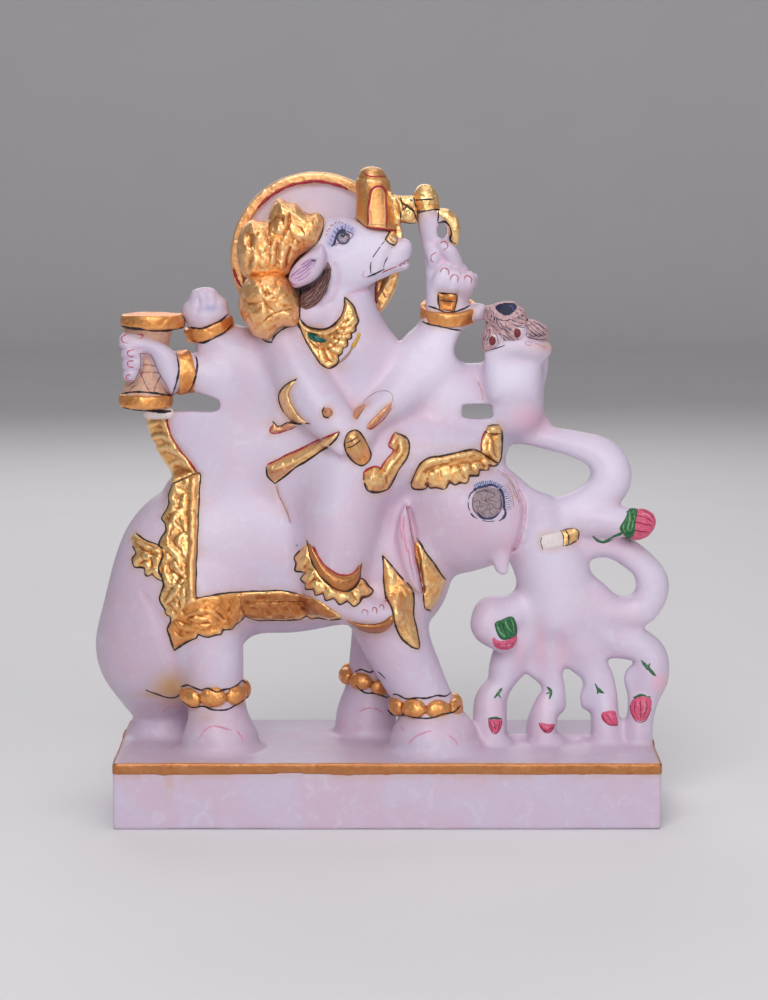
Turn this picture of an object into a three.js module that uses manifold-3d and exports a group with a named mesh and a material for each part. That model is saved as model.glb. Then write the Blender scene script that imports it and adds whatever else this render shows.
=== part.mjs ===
// Carved marble idol of a boar-headed rider on an elephant with seven trunks, on its plinth.
// One block, in millimetres: +Z up, +X to the elephant's front, -Y to the viewer,
// with the origin at the centre of the plinth's underside.
import * as THREE from "three";
import { mergeVertices } from "three/addons/utils/BufferGeometryUtils.js";
import Module from "manifold-3d";

const wasm = await Module();
wasm.setup();

// Driving dimensions
const PLINTH = { width: 252, depth: 96, height: 30, edge: 1.5 };
const HALO = { centre: [-33.5, 15, 259.5], radius: 39.5, thickness: 8, rim: 5, rimRise: 1.4 };
const STOLE = { front: 3, back: 20 };
const ANKLE_BEADS = 6;
const RELIEF = 1.6;
const BEYOND = 80;
const WELD = 1e-4;
const END_SLOPE = 50;

// How finely round shapes are cut: facets around, and rows from pole to pole
const FINE = [12, 8];
const MEDIUM = [8, 6];
const COARSE = [7, 5];
const SMALL = [6, 4];
const BEAD = [5, 3];
const HALO_SIDES = 22;
const BANGLE_SIDES = 8;

// Closed mesh to solid, and back
function solidOf(geometry) {
  const bare = geometry.clone();
  bare.deleteAttribute("normal");
  bare.deleteAttribute("uv");
  const merged = mergeVertices(bare, WELD);
  return new wasm.Manifold(new wasm.Mesh({
    numProp: 3,
    vertProperties: new Float32Array(merged.attributes.position.array),
    triVerts: new Uint32Array(merged.index.array),
  }));
}

function geometryOf(solid) {
  const mesh = solid.getMesh();
  const geometry = new THREE.BufferGeometry();
  geometry.setAttribute("position", new THREE.BufferAttribute(mesh.vertProperties, 3));
  geometry.setIndex(new THREE.BufferAttribute(mesh.triVerts, 1));
  geometry.computeVertexNormals();
  return geometry;
}

function joined(...solids) {
  return solids.flat().reduce((whole, solid) => whole.add(solid));
}

// Ellipsoid with its own radii, leaning towards +X by a tilt in degrees
function ball([x, y, z], [rx, ry, rz], tilt = 0, [around, rows] = COARSE) {
  const geometry = new THREE.SphereGeometry(1, around, rows);
  geometry.scale(rx, ry, rz);
  geometry.rotateY(THREE.MathUtils.degToRad(tilt));
  geometry.translate(x, y, z);
  return solidOf(geometry);
}

// Round-ended limb along a smooth path of [x, y, z, radius] stations
function limb(stations, sides = 6, steps = 2) {
  const path = new THREE.CatmullRomCurve3(stations.map(([x, y, z]) => new THREE.Vector3(x, y, z)));
  const girth = new THREE.CatmullRomCurve3(stations.map(([, , , r]) => new THREE.Vector3(r, 0, 0)));
  const count = (stations.length - 1) * steps;
  const rings = [];
  for (let i = 0; i <= count; i += 1) {
    const t = i / count;
    rings.push({ centre: path.getPoint(t), along: path.getTangent(t), radius: girth.getPoint(t).x });
  }
  rings.unshift(roundedEnd(rings[0], -1));
  rings.push(roundedEnd(rings[rings.length - 1], 1));
  const points = [];
  for (const ring of rings) {
    const across = new THREE.Vector3(0, 1, 0).cross(ring.along).normalize();
    const towards = ring.along.clone().cross(across);
    for (let side = 0; side < sides; side += 1) {
      const angle = (2 * Math.PI * side) / sides;
      const point = ring.centre.clone();
      point.addScaledVector(across, ring.radius * Math.cos(angle));
      point.addScaledVector(towards, ring.radius * Math.sin(angle));
      points.push(point.x, point.y, point.z);
    }
  }
  return solidOf(skin(points, sides, rings.length));
}

function roundedEnd({ centre, along, radius }, sign) {
  const slope = THREE.MathUtils.degToRad(END_SLOPE);
  const tip = centre.clone().addScaledVector(along, sign * radius * Math.sin(slope));
  return { centre: tip, along, radius: radius * Math.cos(slope) };
}

// Skin over equal rings, closed by a fan at each end
function skin(points, sides, ringCount) {
  const index = [];
  for (let ring = 0; ring < ringCount - 1; ring += 1) {
    for (let side = 0; side < sides; side += 1) {
      const a = ring * sides + side;
      const b = ring * sides + ((side + 1) % sides);
      index.push(a, b, a + sides, b, b + sides, a + sides);
    }
  }
  const last = (ringCount - 1) * sides;
  for (let side = 1; side < sides - 1; side += 1) {
    index.push(0, side + 1, side);
    index.push(last, last + side, last + side + 1);
  }
  const geometry = new THREE.BufferGeometry();
  geometry.setAttribute("position", new THREE.Float32BufferAttribute(points, 3));
  geometry.setIndex(index);
  return geometry;
}

// Upright plate: an outline of [x, z] corners, from its front depth to its back depth
function plate(outline, front, back) {
  const shape = new THREE.Shape(outline.map(([x, z]) => new THREE.Vector2(x, z)));
  const geometry = new THREE.ExtrudeGeometry(shape, { depth: back - front, bevelEnabled: false });
  geometry.rotateX(Math.PI / 2);
  geometry.translate(0, back, 0);
  return solidOf(geometry);
}

// Band round a limb, its axis leaning towards +X by a tilt in degrees
function bangle([x, y, z], [rx, ry], height, tilt = 0) {
  const geometry = new THREE.CylinderGeometry(1, 1, height, BANGLE_SIDES);
  geometry.rotateX(Math.PI / 2);
  geometry.scale(rx, ry, 1);
  geometry.rotateY(THREE.MathUtils.degToRad(tilt));
  geometry.translate(x, y, z);
  return solidOf(geometry);
}

// Turned shape from a profile of [radius, height] points, standing on a place
function turned(profile, [x, y, z], around) {
  const outline = profile.map(([r, h]) => new THREE.Vector2(r, h));
  const geometry = new THREE.LatheGeometry(outline, around);
  geometry.rotateX(Math.PI / 2);
  geometry.translate(x, y, z);
  return solidOf(geometry);
}

function plinth() {
  const { width, depth, height, edge } = PLINTH;
  const x = width / 2 - edge;
  const y = depth / 2 - edge;
  const outline = [[-x, -y], [x, -y], [x, y], [-x, y]].map((corner) => new THREE.Vector2(...corner));
  const geometry = new THREE.ExtrudeGeometry(new THREE.Shape(outline), {
    depth: height - 2 * edge,
    bevelThickness: edge,
    bevelSize: edge,
    bevelSegments: 2,
  });
  geometry.translate(0, 0, edge);
  return solidOf(geometry);
}

// Rump, barrel and chest of the elephant, grown outwards where they carry raised carving
function elephantBody(grow = 0) {
  const grown = (radii) => radii.map((r) => r + grow);
  return joined(
    ball([-98, 5, 97], grown([35, 29, 52.5]), 15, FINE),
    ball([-111.5, 10, 74], [26, 22, 26]),
    ball([-50, 4, 121], grown([57, 30, 38]), 0, FINE),
    ball([2, 3, 116], grown([29, 27, 35]), 0, FINE),
  );
}

function elephantHead() {
  return joined(
    ball([34, 0, 141], [28, 24, 29], 0, FINE),
    ball([51, -2, 139], [18, 20, 20], 0, MEDIUM),
    ball([9, -19, 122], [8, 7, 30], 8),
    limb([[49, -14, 124, 5], [52.5, -15, 117.5, 3.5], [53.5, -16, 113, 1.5]], 6, 1),
  );
}

// Beads round an ankle, evenly spaced on an ellipse
function anklet([x, y, z], [rx, ry], bead) {
  const beads = [];
  for (let i = 0; i < ANKLE_BEADS; i += 1) {
    const angle = (2 * Math.PI * (i + 0.5)) / ANKLE_BEADS;
    const place = [x + rx * Math.cos(angle), y + ry * Math.sin(angle), z];
    beads.push(ball(place, [bead, bead, bead * 0.85], 0, BEAD));
  }
  return joined(beads);
}

function elephantLegs() {
  const nearHind = [[-86, -12, 104, 18], [-82, -15, 78, 14.5], [-81, -15, 58, 12.5], [-78.5, -17, 31, 20.5]];
  const nearFore = [[0.5, -11, 94, 18], [6, -13, 77.5, 15.5], [17.5, -15, 54, 13.5], [22, -17, 31, 23]];
  const farFore = [[-1, 15, 90, 15], [-6, 18, 66.5, 12.5], [-8.5, 19, 52, 11.5], [-9.5, 19, 28, 15]];
  const farHind = [[-112, 13, 76, 22], [-111, 17, 54, 18], [-107.5, 18, 26, 17]];
  return joined(
    limb(nearHind, 7, 1),
    limb(nearFore, 7, 1),
    limb(farFore, 6, 1),
    limb(farHind, 6, 1),
    anklet([-81, -15, 57], [12, 12], 7),
    anklet([17.5, -15, 53], [13, 12], 7),
    anklet([-8.5, 19, 57], [10, 10], 6),
  );
}

// Seven trunks fan out of one root: two closed loops, a short curl and four that reach the plinth
function trunks() {
  const root = [[55, 2, 150, 15], [70, 2, 132, 17], [80, 3, 110, 18], [80, 3, 88, 15]];
  const upperLoop = [
    [52, 2, 164, 6], [62.5, 2, 174, 5.5], [78, 2, 174, 6.5], [94, 2, 170, 8],
    [103.5, 2, 160, 10], [99, 2, 148, 10], [83, 2, 141, 9],
  ];
  const budStub = [[86, 0, 135, 8], [102, -4, 136, 7.5], [113, -6, 137, 7.5], [122, -6, 138, 5]];
  const lowerLoop = [
    [93, 2, 126, 8], [112, 2, 122, 7.5], [125, 2, 108, 8.5],
    [119, 2, 95, 8.5], [103, 2, 94, 9], [87, 2, 100, 9],
  ];
  const outermost = [
    [88, 3, 92, 8.5], [105.5, 3, 82, 8.5], [119, 3, 75, 9.5], [124.5, 1, 65, 9],
    [121, 0, 54, 8], [120, 0, 44, 7], [121, 0, 30, 6.5],
  ];
  const third = [[83, 3, 89, 10.5], [95, 2, 72, 8], [99, 1, 55.5, 8], [104, -1, 30, 8]];
  const second = [[76, 3, 86, 9.5], [77, 1, 67.5, 7.5], [78.5, 0, 55, 7.5], [75, -3, 29, 8]];
  const first = [[67.5, 3, 90, 10], [57.5, 0, 70, 8.5], [51.5, -3, 53, 8.5], [47, -6, 28, 9]];
  const curl = [[66, 0, 96, 8], [52, -4, 94, 7], [46.5, -7, 88.5, 7.5], [54, -9, 82, 6.5]];
  const loops = [upperLoop, lowerLoop].map((stations) => limb(stations, 6, 2));
  const arms = [budStub, outermost, third, second, first, curl].map((stations) => limb(stations, 6, 1));
  return joined(limb(root, 8, 1), loops, arms);
}

// Saddle cloth: its L-shaped border stands proud of both flanks
function saddleBorder() {
  const outerEdge = [
    [-98, 162], [-103.5, 133], [-103.5, 106], [-99, 81], [-87, 88], [-77, 88],
    [-66, 96], [-42, 96], [-20, 93], [3, 91],
  ];
  const innerEdge = [[3, 100], [-20, 106], [-42, 108], [-64, 108], [-88, 105], [-88, 135], [-86.5, 162]];
  return plate([...outerEdge, ...innerEdge], -BEYOND, BEYOND).intersect(elephantBody(RELIEF));
}

function crupper() {
  const strap = [[-120, 129], [-119, 122], [-113, 112], [-103, 106], [-103, 124], [-111, 129]];
  return plate(strap, -BEYOND, BEYOND).intersect(elephantBody(RELIEF));
}

// Scalloped band over the brow, the strap up from it and two leaf-shaped pendants by the ear
function headHarness() {
  const brow = [
    [-0.5, 154], [2, 163], [10, 168], [26, 171.5], [38, 164], [39, 157], [28, 159], [18, 155], [10, 152],
  ];
  const strap = [[34, 163], [38, 182], [47, 183], [47, 163]];
  const leaf = [[-1, 119], [5, 121], [13, 108], [15, 88], [13, 77], [6, 84], [1, 96]];
  const farLeaf = [[12, 131], [20, 124], [27, 108], [26, 95], [18, 97], [12, 110]];
  const grownHead = joined(
    ball([34, 0, 141], [29.6, 25.6, 30.6], 0, FINE),
    ball([6, 0, 142], [30, 30, 34], 0, FINE),
  );
  return joined(
    plate(brow, -BEYOND, BEYOND).intersect(grownHead),
    plate(strap, -9, 12),
    plate(leaf, -32, -10),
    plate(farLeaf, -28, -10),
  );
}

// Rider's body, and the stole that backs all the arms
function riderBody() {
  const stole = [
    [-113, 186], [-108, 196], [-98, 203], [-88, 228], [-73, 227], [-58, 226],
    [20, 218], [28, 208], [38, 205], [48, 207], [74, 216], [72, 192], [74.5, 172],
    [52, 170], [25, 150], [-90, 152], [-103.5, 159], [-112, 171],
  ];
  const scarf = [[-110, 175], [-110, 192], [-98, 192], [-92, 170], [-88, 156], [-94, 155]];
  return joined(
    plate(stole, STOLE.front, STOLE.back),
    plate(scarf, -6, STOLE.front + 1),
    ball([-18, 3, 192], [34, 23, 40], 0, FINE),
    ball([-24, 2, 162], [42, 25, 27], 0, FINE),
    ball([-54, 3, 204], [27, 18, 22], 0, MEDIUM),
    ball([12, 4, 200], [25, 18, 24], 0, MEDIUM),
    ball([-70, 4, 180], [34, 14, 32]),
    ball([40, 5, 185], [30, 13, 24]),
    limb([[-17, 2, 222, 19], [-22, 1, 236, 17], [-26, 0, 252, 15]], 8, 1),
  );
}

function riderLegs() {
  const pendent = [[-19.5, -12, 162, 20], [-22, -20, 137, 18], [-25, -25, 118, 14], [-25, -27, 107, 10.5]];
  const foot = [[-25, -27, 105, 9.5], [-14, -29, 101, 7], [-2, -31, 98, 4.5]];
  const folded = [[-4, -8, 168, 17], [24, -8, 172, 15], [45, -4, 174, 12]];
  const anklet = bangle([-25, -24, 119], [16, 14], 5, 20);
  return joined(limb(pendent, 8, 1), limb(foot, 6, 1), limb(folded, 8, 1), anklet);
}

function riderFrontArms() {
  const left = [[-47, -4, 222, 13.5], [-40, -16, 204, 12.5], [-29, -24, 191, 10.5], [-17, -27, 180, 8.5]];
  const right = [[14, -4, 206, 14], [4, -14, 197, 10], [-7, -19, 189, 6]];
  const club = [[-55, -20, 158.5, 6], [-38, -25, 166, 4.5], [-23, -27, 174, 2.5]];
  const horn = [[-8, -20, 157, 4], [1, -20, 162, 4], [7, -20, 173, 4]];
  return joined(
    limb(left, 7, 1),
    limb(right, 6, 1),
    limb(club, 6, 1),
    limb(horn, 6, 1),
    ball([-13, -30, 180], [5.5, 4, 8], -25, SMALL),
    bangle([-37, -17, 201], [14.5, 13.5], 4, -30),
  );
}

// Left back arms: a raised fist, and a hand round a waisted drum
function leftBackArms() {
  const raised = [[-86, 0, 239, 9], [-82, 1, 230, 9.5], [-70, 3, 217, 13], [-54, 3, 206, 16]];
  const lower = [[-113, -4, 212, 8], [-90, -1, 206, 9.5], [-72, 3, 204, 14], [-54, 3, 202, 17]];
  const fingers = [[-118, -17, 219, 4.5], [-119, -18, 210, 4.5], [-116, -17, 200, 4.5]];
  const drum = [
    [0, -21], [15, -21], [15, -14], [11.5, -14], [7.5, -1], [11.5, 13], [15.5, 13], [15.5, 20], [0, 20],
  ];
  return joined(
    limb(raised, 6, 1),
    limb(lower, 6, 1),
    limb(fingers, 6, 1),
    ball([-88, -1, 238], [9, 8, 7.5], 0, SMALL),
    bangle([-79, 2, 227], [12, 10], 5, -30),
    bangle([-92, -1, 206], [13, 11], 4.5, 80),
    turned(drum, [-110.5, -4, 212], 10),
  );
}

// Right back arms: one raised with the goad, one held level with a purse on its palm
function rightBackArms() {
  const raised = [[8, 3, 200, 18], [20, 2, 214, 15], [28, 2, 229, 11.5]];
  const hand = [[28.5, 1, 240, 11.5], [27.5, 0, 252, 10.5], [22, 0, 265, 7.5], [19, -1, 279, 6]];
  const fingers = [[32, -2, 258, 5.5], [37, -2, 250, 5.5], [35, -2, 243, 6]];
  const lower = [[28, 2, 190, 16], [46, 0, 184, 12.5], [58, -2, 193, 13.5], [60, -5, 216, 14]];
  return joined(
    limb(raised, 8, 1),
    limb(hand, 7, 1),
    limb(fingers, 6, 1),
    bangle([29.5, 2, 232], [14.5, 13], 6),
    ball([48, -3, 226], [5, 5, 6], 0, SMALL),
    limb(lower, 8, 1),
    purse(),
    goad(),
  );
}

function purse() {
  return joined(
    limb([[57, -6, 232, 9.5], [60, -6, 222, 11.5]], 7, 1),
    ball([48.5, -6, 220], [5.5, 6, 8]),
    ball([68.5, -6, 222], [7, 7, 8]),
  );
}

function goad() {
  const hook = [[6, -3, 286, 4.5], [9, -3, 281.5, 5.5], [14, -2, 284, 5]];
  const ring = [[24, 0, 281, 3], [30, 0, 280, 3.2], [33.5, 0, 274, 3.2], [31, 0, 266, 3.2], [26, 0, 263, 3]];
  const cap = [[0, 0], [6.2, 0], [6.2, 5], [5.2, 9], [2.8, 12.5], [0, 13.5]];
  return joined(limb(hook, 6, 1), limb(ring, 6, 1), turned(cap, [17.5, -1, 281], 9));
}

// Boar's head in profile, with its ear, tusk and curled hair
function riderHead() {
  const snout = [[-24, -3, 266, 15], [-9, -4, 264.5, 10.5], [1, -4, 264, 7.5], [7.5, -4, 264, 6.5]];
  const jaw = [[-20, -3, 254, 12], [-6, -4, 255.5, 5.5], [6, -4, 257.5, 4]];
  return joined(
    ball([-27, -3, 267], [17, 16, 15.5], 0, MEDIUM),
    limb(snout, 8, 1),
    limb(jaw, 6, 1),
    ball([-35, -17, 254.5], [11.5, 4.5, 5.5], -28, SMALL),
    limb([[-8, -12, 254, 2], [0, -10, 268, 1.6]], 5, 1),
    ball([-49, -5, 268], [19, 17, 18], 0, MEDIUM),
    ball([-62, -5, 260], [9, 14, 14], 0, SMALL),
    ball([-55, -7, 240], [15.5, 16, 16], 0, MEDIUM),
  );
}

// Little temple that stands on the snout
function temple() {
  const profile = [[0, 0], [9.6, 0], [8.8, 6], [8.2, 14], [7.6, 21], [6.6, 25], [4, 28.5], [0, 30]];
  return turned(profile, [-5, -4, 270.5], 10);
}

// Halo: a disc with a raised rim, front and back
function halo() {
  const { centre: [x, y, z], radius, thickness, rim, rimRise } = HALO;
  const inner = radius - rim;
  const deep = thickness / 2;
  const profile = [
    [0, -deep], [inner, -deep], [inner, -deep - rimRise], [radius, -deep - rimRise],
    [radius, deep + rimRise], [inner, deep + rimRise], [inner, deep], [0, deep],
  ];
  const disc = new THREE.LatheGeometry(profile.map(([r, h]) => new THREE.Vector2(r, h)), HALO_SIDES);
  disc.translate(x, y, z);
  return solidOf(disc);
}

// Collar: a crescent that stands proud of the breast
function collar() {
  const crescent = [
    [-41, 240], [-37, 232], [-26, 229], [-16, 234], [-13, 243],
    [-10, 240], [-9, 231], [-14, 217], [-22, 209], [-30, 217],
  ];
  const breast = joined(
    ball([-18, 3, 192], [35.6, 24.6, 41.6], 0, FINE),
    limb([[-17, 2, 222, 20.6], [-22, 1, 236, 18.6], [-26, 0, 252, 16.6]], 8, 1),
  );
  return plate(crescent, -BEYOND, 0).intersect(breast);
}

// Slots cut right through the stole, under the drum hand and inside the crook of the lower right arm
function armSlots() {
  return joined(
    plate([[-101, 190], [-101, 198], [-96, 199], [-79, 194], [-80, 190]], -BEYOND, BEYOND),
    plate([[36, 186], [37, 191], [49, 191], [50, 186]], -BEYOND, BEYOND),
  );
}

function idol() {
  const carving = joined(
    plinth(),
    elephantBody(),
    elephantHead(),
    elephantLegs(),
    trunks(),
    saddleBorder(),
    crupper(),
    headHarness(),
    riderBody(),
    riderLegs(),
    riderFrontArms(),
    leftBackArms(),
    rightBackArms(),
    riderHead(),
    temple(),
    halo(),
    collar(),
  );
  return carving.subtract(armSlots());
}

const marble = new THREE.MeshStandardMaterial({ color: 0xe9e2ea, roughness: 0.42, metalness: 0 });
const figure = new THREE.Mesh(geometryOf(idol()), marble);
figure.name = "manibhadra_idol";

const part = new THREE.Group();
part.add(figure);
export default part;
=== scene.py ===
"""A painted marble murti: a boar-headed rider on an elephant with seven trunks, before a halo, on a plinth.

Sizes are in millimetres until a mesh is made. The marble is one carved field of distances, and each
gilded or painted piece is a thin skin over it or a small form of its own. An outline, a relief and a
painted stroke are drawn in the upright plane through the middle of the plinth, as the camera sees it,
and are carried along the line of sight on to the front of the carving.
"""
import functools
import math

import bpy
import numpy as np
import openvdb
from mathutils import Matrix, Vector


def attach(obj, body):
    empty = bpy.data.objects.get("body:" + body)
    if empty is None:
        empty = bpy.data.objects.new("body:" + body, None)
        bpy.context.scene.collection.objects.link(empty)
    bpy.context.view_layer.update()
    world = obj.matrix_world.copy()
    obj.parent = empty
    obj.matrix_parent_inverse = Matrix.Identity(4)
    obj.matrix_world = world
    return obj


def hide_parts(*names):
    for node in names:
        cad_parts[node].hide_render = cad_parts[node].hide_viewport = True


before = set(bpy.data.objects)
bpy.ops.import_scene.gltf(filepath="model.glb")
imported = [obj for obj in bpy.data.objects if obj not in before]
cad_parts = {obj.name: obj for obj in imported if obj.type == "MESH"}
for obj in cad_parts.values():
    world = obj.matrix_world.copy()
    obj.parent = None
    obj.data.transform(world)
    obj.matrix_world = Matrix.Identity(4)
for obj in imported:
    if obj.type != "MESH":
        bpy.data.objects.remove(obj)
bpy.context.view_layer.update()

MM = 0.001

# The camera, in millimetres from the middle of the plinth's foot
EYE = (-1.4, -1348.0, 330.0)
EYE_PITCH = 7.75
EYE_LENS = 104.33
SENSOR = 36.0

# The block of stone, its grid, and how far a field of distances reaches
BLOCK = (-142, -52, -4), (142, 52, 306)
MARBLE_CELL = 0.9
GILT_CELL = 0.5
FAR = 12.0
NOISE_SIDE = 24

# Half the plinth's width and depth, and its height; the halo's middle and radius
PLINTH = (126, 48, 31.4)
HALO = (-33.5, 259.5)
HALO_RADIUS = 39.5

# Gilding: the depths it may lie at, how far its edge is sunk and spills over, and its wrinkles
FRONT = (-60.0, 4.0)
EDGE_SUNK = 0.15
EDGE_SPILL = 0.35
WRINKLE = 2.6
WRINKLE_SEED = 3

# Painted strokes: the depths they look for the stone in, their steps, and their unevenness
SIGHT = (-60.0, 40.0)
SIGHT_STEP = 0.4
TOUCH = 0.05
STROKE_STEP = 0.55
STROKE_SEED = 100
WAVES = (0.55, 0.47, 0.9, 2.3)

# Triangles: the most for the body, and the number that no piece is thinned below
BODY_TRIANGLES = 195000
FEW_TRIANGLES = 6000

# The floor, in metres: how far back it goes, how high, half its width, and its bend's radius
BACK_Y = 2.6
BACK_TOP = 3.0
FLOOR_HALF = 3.4
BEND = 0.5


# Fields of distances

def seen(x, y, z):
    """Where a point shows in the plane y = 0."""
    near = -EYE[1] / (y - EYE[1])
    return EYE[0] + (x - EYE[0]) * near, EYE[2] + (z - EYE[2]) * near


def placed(u, v, y):
    """The point at depth y that shows at (u, v) in the plane y = 0."""
    far = (y - EYE[1]) / -EYE[1]
    return EYE[0] + (u - EYE[0]) * far, EYE[2] + (v - EYE[2]) * far


def soft_min(a, b, soft):
    """The union of two forms, with a fillet of about `soft` where they meet."""
    if soft <= 0:
        return np.minimum(a, b)
    meet = np.clip(soft - np.abs(a - b), 0, None) / soft
    return np.minimum(a, b) - meet * meet * (soft * 0.25)


def smooth_step(low, high, value):
    t = np.clip((value - low) / (high - low), 0, 1)
    return t * t * (3 - 2 * t)


class Form:
    """A distance to a surface, negative inside, and the box that the surface lies in."""

    def __init__(self, low, high, distance):
        self.low = np.array(low, float)
        self.high = np.array(high, float)
        self.distance = distance


def form_round(centre, reach, distance):
    """A form that reaches as far to either side of its centre."""
    centre = np.array(centre, float)
    return Form(centre - reach, centre + reach, distance)


class Clay:
    """A block of distances on a regular grid, which forms are added to and cut from."""

    def __init__(self, low, high, cell):
        self.low = np.array(low, float)
        self.cell = cell
        count = [int(math.ceil((b - a) / cell)) + 1 for a, b in zip(low, high)]
        self.field = np.full(count, FAR, np.float32)
        self.high = self.low + cell * (np.array(count) - 1)

    def part(self, low, high):
        """The slices of the grid that hold a box."""
        first = np.floor((np.array(low) - self.low) / self.cell).astype(int)
        last = np.ceil((np.array(high) - self.low) / self.cell).astype(int) + 1
        return tuple(slice(max(0, a), max(0, min(n, b))) for a, b,
            n in zip(first, last, self.field.shape))

    def axes(self, part):
        """The grid's coordinates in a part, ready to be combined."""
        lines = [self.low[i] + self.cell * np.arange(s.start, s.stop) for i, s in enumerate(part)]
        x, y, z = [line.astype(np.float32) for line in lines]
        return x[:, None, None], y[None, :, None], z[None, None, :]

    def everywhere(self):
        return self.axes([slice(0, n) for n in self.field.shape])

    def add(self, form, soft=0.0):
        part = self.part(form.low - FAR, form.high + FAR)
        near = form.distance(*self.axes(part))
        self.field[part] = soft_min(self.field[part], near, soft)

    def cut(self, form, soft=0.0):
        part = self.part(form.low - FAR, form.high + FAR)
        near = form.distance(*self.axes(part))
        self.field[part] = -soft_min(-self.field[part], near, soft)

    def emboss(self, relief, span=FRONT):
        """Raises the front of the carving by a relief that is drawn as the camera sees it."""
        low, high = box_behind(relief.low, relief.high, span)
        part = self.part(low, high)
        x, y, z = self.axes(part)
        u, v = seen(x, y, z)
        fade = smooth_step(span[1], span[1] - 3.0, y)
        self.field[part] -= relief.at(u, v) * fade

    def sample(self, x, y, z):
        """The distance at any points, straight between the grid's own."""
        place = [(np.asarray(c, float) - l) / self.cell for c, l in zip((x, y, z), self.low)]
        whole, part = [], []
        for c, n in zip(place, self.field.shape):
            c = np.clip(c, 0, n - 1.001)
            i = c.astype(int)
            whole.append((i, i + 1))
            part.append(c - i)
        return between_corners(self.field, whole, part)

    def finer(self, other):
        """This field on another clay's finer grid."""
        field = self.field
        for axis in range(3):
            at = other.low[axis] + other.cell * np.arange(other.field.shape[axis])
            at = np.clip((at - self.low[axis]) / self.cell, 0, field.shape[axis] - 1.001)
            i = at.astype(int)
            shape = [1, 1, 1]
            shape[axis] = -1
            w = (at - i).astype(np.float32).reshape(shape)
            field = np.take(field, i, axis) * (1 - w) + np.take(field, i + 1, axis) * w
        return field


def box_behind(low, high, span):
    """The box that a seen rectangle can reach at the depths of a span."""
    corners = [placed(u, v, y) for u in (low[0], high[0]) for v in (low[1], high[1]) for y in span]
    xs = [c[0] for c in corners]
    zs = [c[1] for c in corners]
    return (min(xs), span[0], min(zs)), (max(xs), span[1], max(zs))


def between_corners(grid, cells, parts):
    """A grid's value inside a cell, from the two numbers of its corners along each axis."""
    (i0, i1), (j0, j1), levels = cells
    a, b, c = parts
    value = []
    for k in levels:
        near = (grid[i0, j0, k] * (1 - a) + grid[i1, j0, k] * a) * (1 - b)
        value.append(near + (grid[i0, j1, k] * (1 - a) + grid[i1, j1, k] * a) * b)
    return value[0] * (1 - c) + value[1] * c


def rounded(edge, *gaps):
    """The distance to where every gap is below zero, its edges rounded by `edge`."""
    gaps = [gap + edge for gap in gaps]
    out = np.sqrt(sum(np.clip(gap, 0, None) ** 2 for gap in gaps))
    return out + np.minimum(functools.reduce(np.maximum, gaps), 0) - edge


def oval_distance(steps, radii):
    """The distance to an ellipsoid, from the steps along its own axes."""
    k0 = np.sqrt(sum((d / r) ** 2 for d, r in zip(steps, radii)))
    k1 = np.sqrt(sum((d / r ** 2) ** 2 for d, r in zip(steps, radii)))
    return k0 * (k0 - 1) / np.maximum(k1, 1e-6)


def noise(x, y, z, size, seed):
    """Smooth seeded noise from -1 to 1, with lumps of about `size`."""
    grid = np.random.default_rng(seed).uniform(-1, 1, [NOISE_SIDE] * 3).astype(np.float32)
    cells, parts = [], []
    for c in (x, y, z):
        c = np.asarray(c, np.float32) / size + 1000
        i = np.floor(c).astype(int)
        t = c - i
        cells.append((i % NOISE_SIDE, (i + 1) % NOISE_SIDE))
        parts.append(t * t * (3 - 2 * t))
    return between_corners(grid, cells, parts)


def lumps(rise, size, seed):
    """An uneven surface: noise of `rise` millimetres, for a form's `rough`."""
    return lambda x, y, z: rise * noise(x, y, z, size, seed)


# Forms

def curve(points, steps=6, closed=False):
    """A smooth curve through the points."""
    p = np.array(points, float)
    if closed:
        p = np.vstack([p[-1], p, p[0], p[1]])
    else:
        p = np.vstack([2 * p[0] - p[1], p, 2 * p[-1] - p[-2]])
    out = []
    for a, b, c, d in zip(p[:-3], p[1:-2], p[2:-1], p[3:]):
        for t in np.arange(steps) / steps:
            out.append(0.5 * (2 * b + (c - a) * t + (2 * a - 5 * b + 4 * c - d) * t * t + (
                3 * b - a - 3 * c + d) * t ** 3))
    if not closed:
        out.append(p[-2])
    return np.array(out)


def ball(centre, radii, tilt=0):
    """An ellipsoid, its top tilted towards +X."""
    cx, cy, cz = centre
    rx, ry, rz = radii
    cos, sin = math.cos(math.radians(tilt)), math.sin(math.radians(tilt))
    reach = max(rx, rz)

    def distance(x, y, z):
        dx, dy, dz = x - cx, y - cy, z - cz
        px = dx * cos - dz * sin
        pz = dx * sin + dz * cos
        return oval_distance((px, dy, pz), radii)

    return form_round(centre, (reach, ry, reach), distance)


def limb(stations, steps=5):
    """A round limb along a smooth curve through stations of x, y, z and radius."""
    p = curve(stations, steps)
    reach = p[:, 3:4]

    def distance(x, y, z):
        near = np.full((x.size, y.size, z.size), FAR, np.float32)
        for a, b in zip(p[:-1], p[1:]):
            out = max(a[3], b[3]) + FAR
            low = np.minimum(a[:3], b[:3]) - out
            high = np.maximum(a[:3], b[:3]) + out
            i, j, k = [slice(np.searchsorted(c.ravel(), l), np.searchsorted(c.ravel(), h)) for c, l,
                h in zip((x, y, z), low, high)]
            if i.start == i.stop or j.start == j.stop or k.start == k.stop:
                continue
            dx, dy, dz = x[i] - a[0], y[:, j] - a[1], z[:, :, k] - a[2]
            bx, by, bz = b[:3] - a[:3]
            t = np.clip((dx * bx + dy * by + dz * bz) / (bx * bx + by * by + bz * bz + 1e-9), 0, 1)
            gap = np.sqrt((dx - t * bx) ** 2 + (dy - t * by) ** 2 + (dz - t * bz) ** 2)
            gap = gap - (a[3] + t * (b[3] - a[3]))
            near[i, j, k] = np.minimum(near[i, j, k], gap)
        return near

    return Form((p[:, :3] - reach).min(0), (p[:, :3] + reach).max(0), distance)


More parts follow.
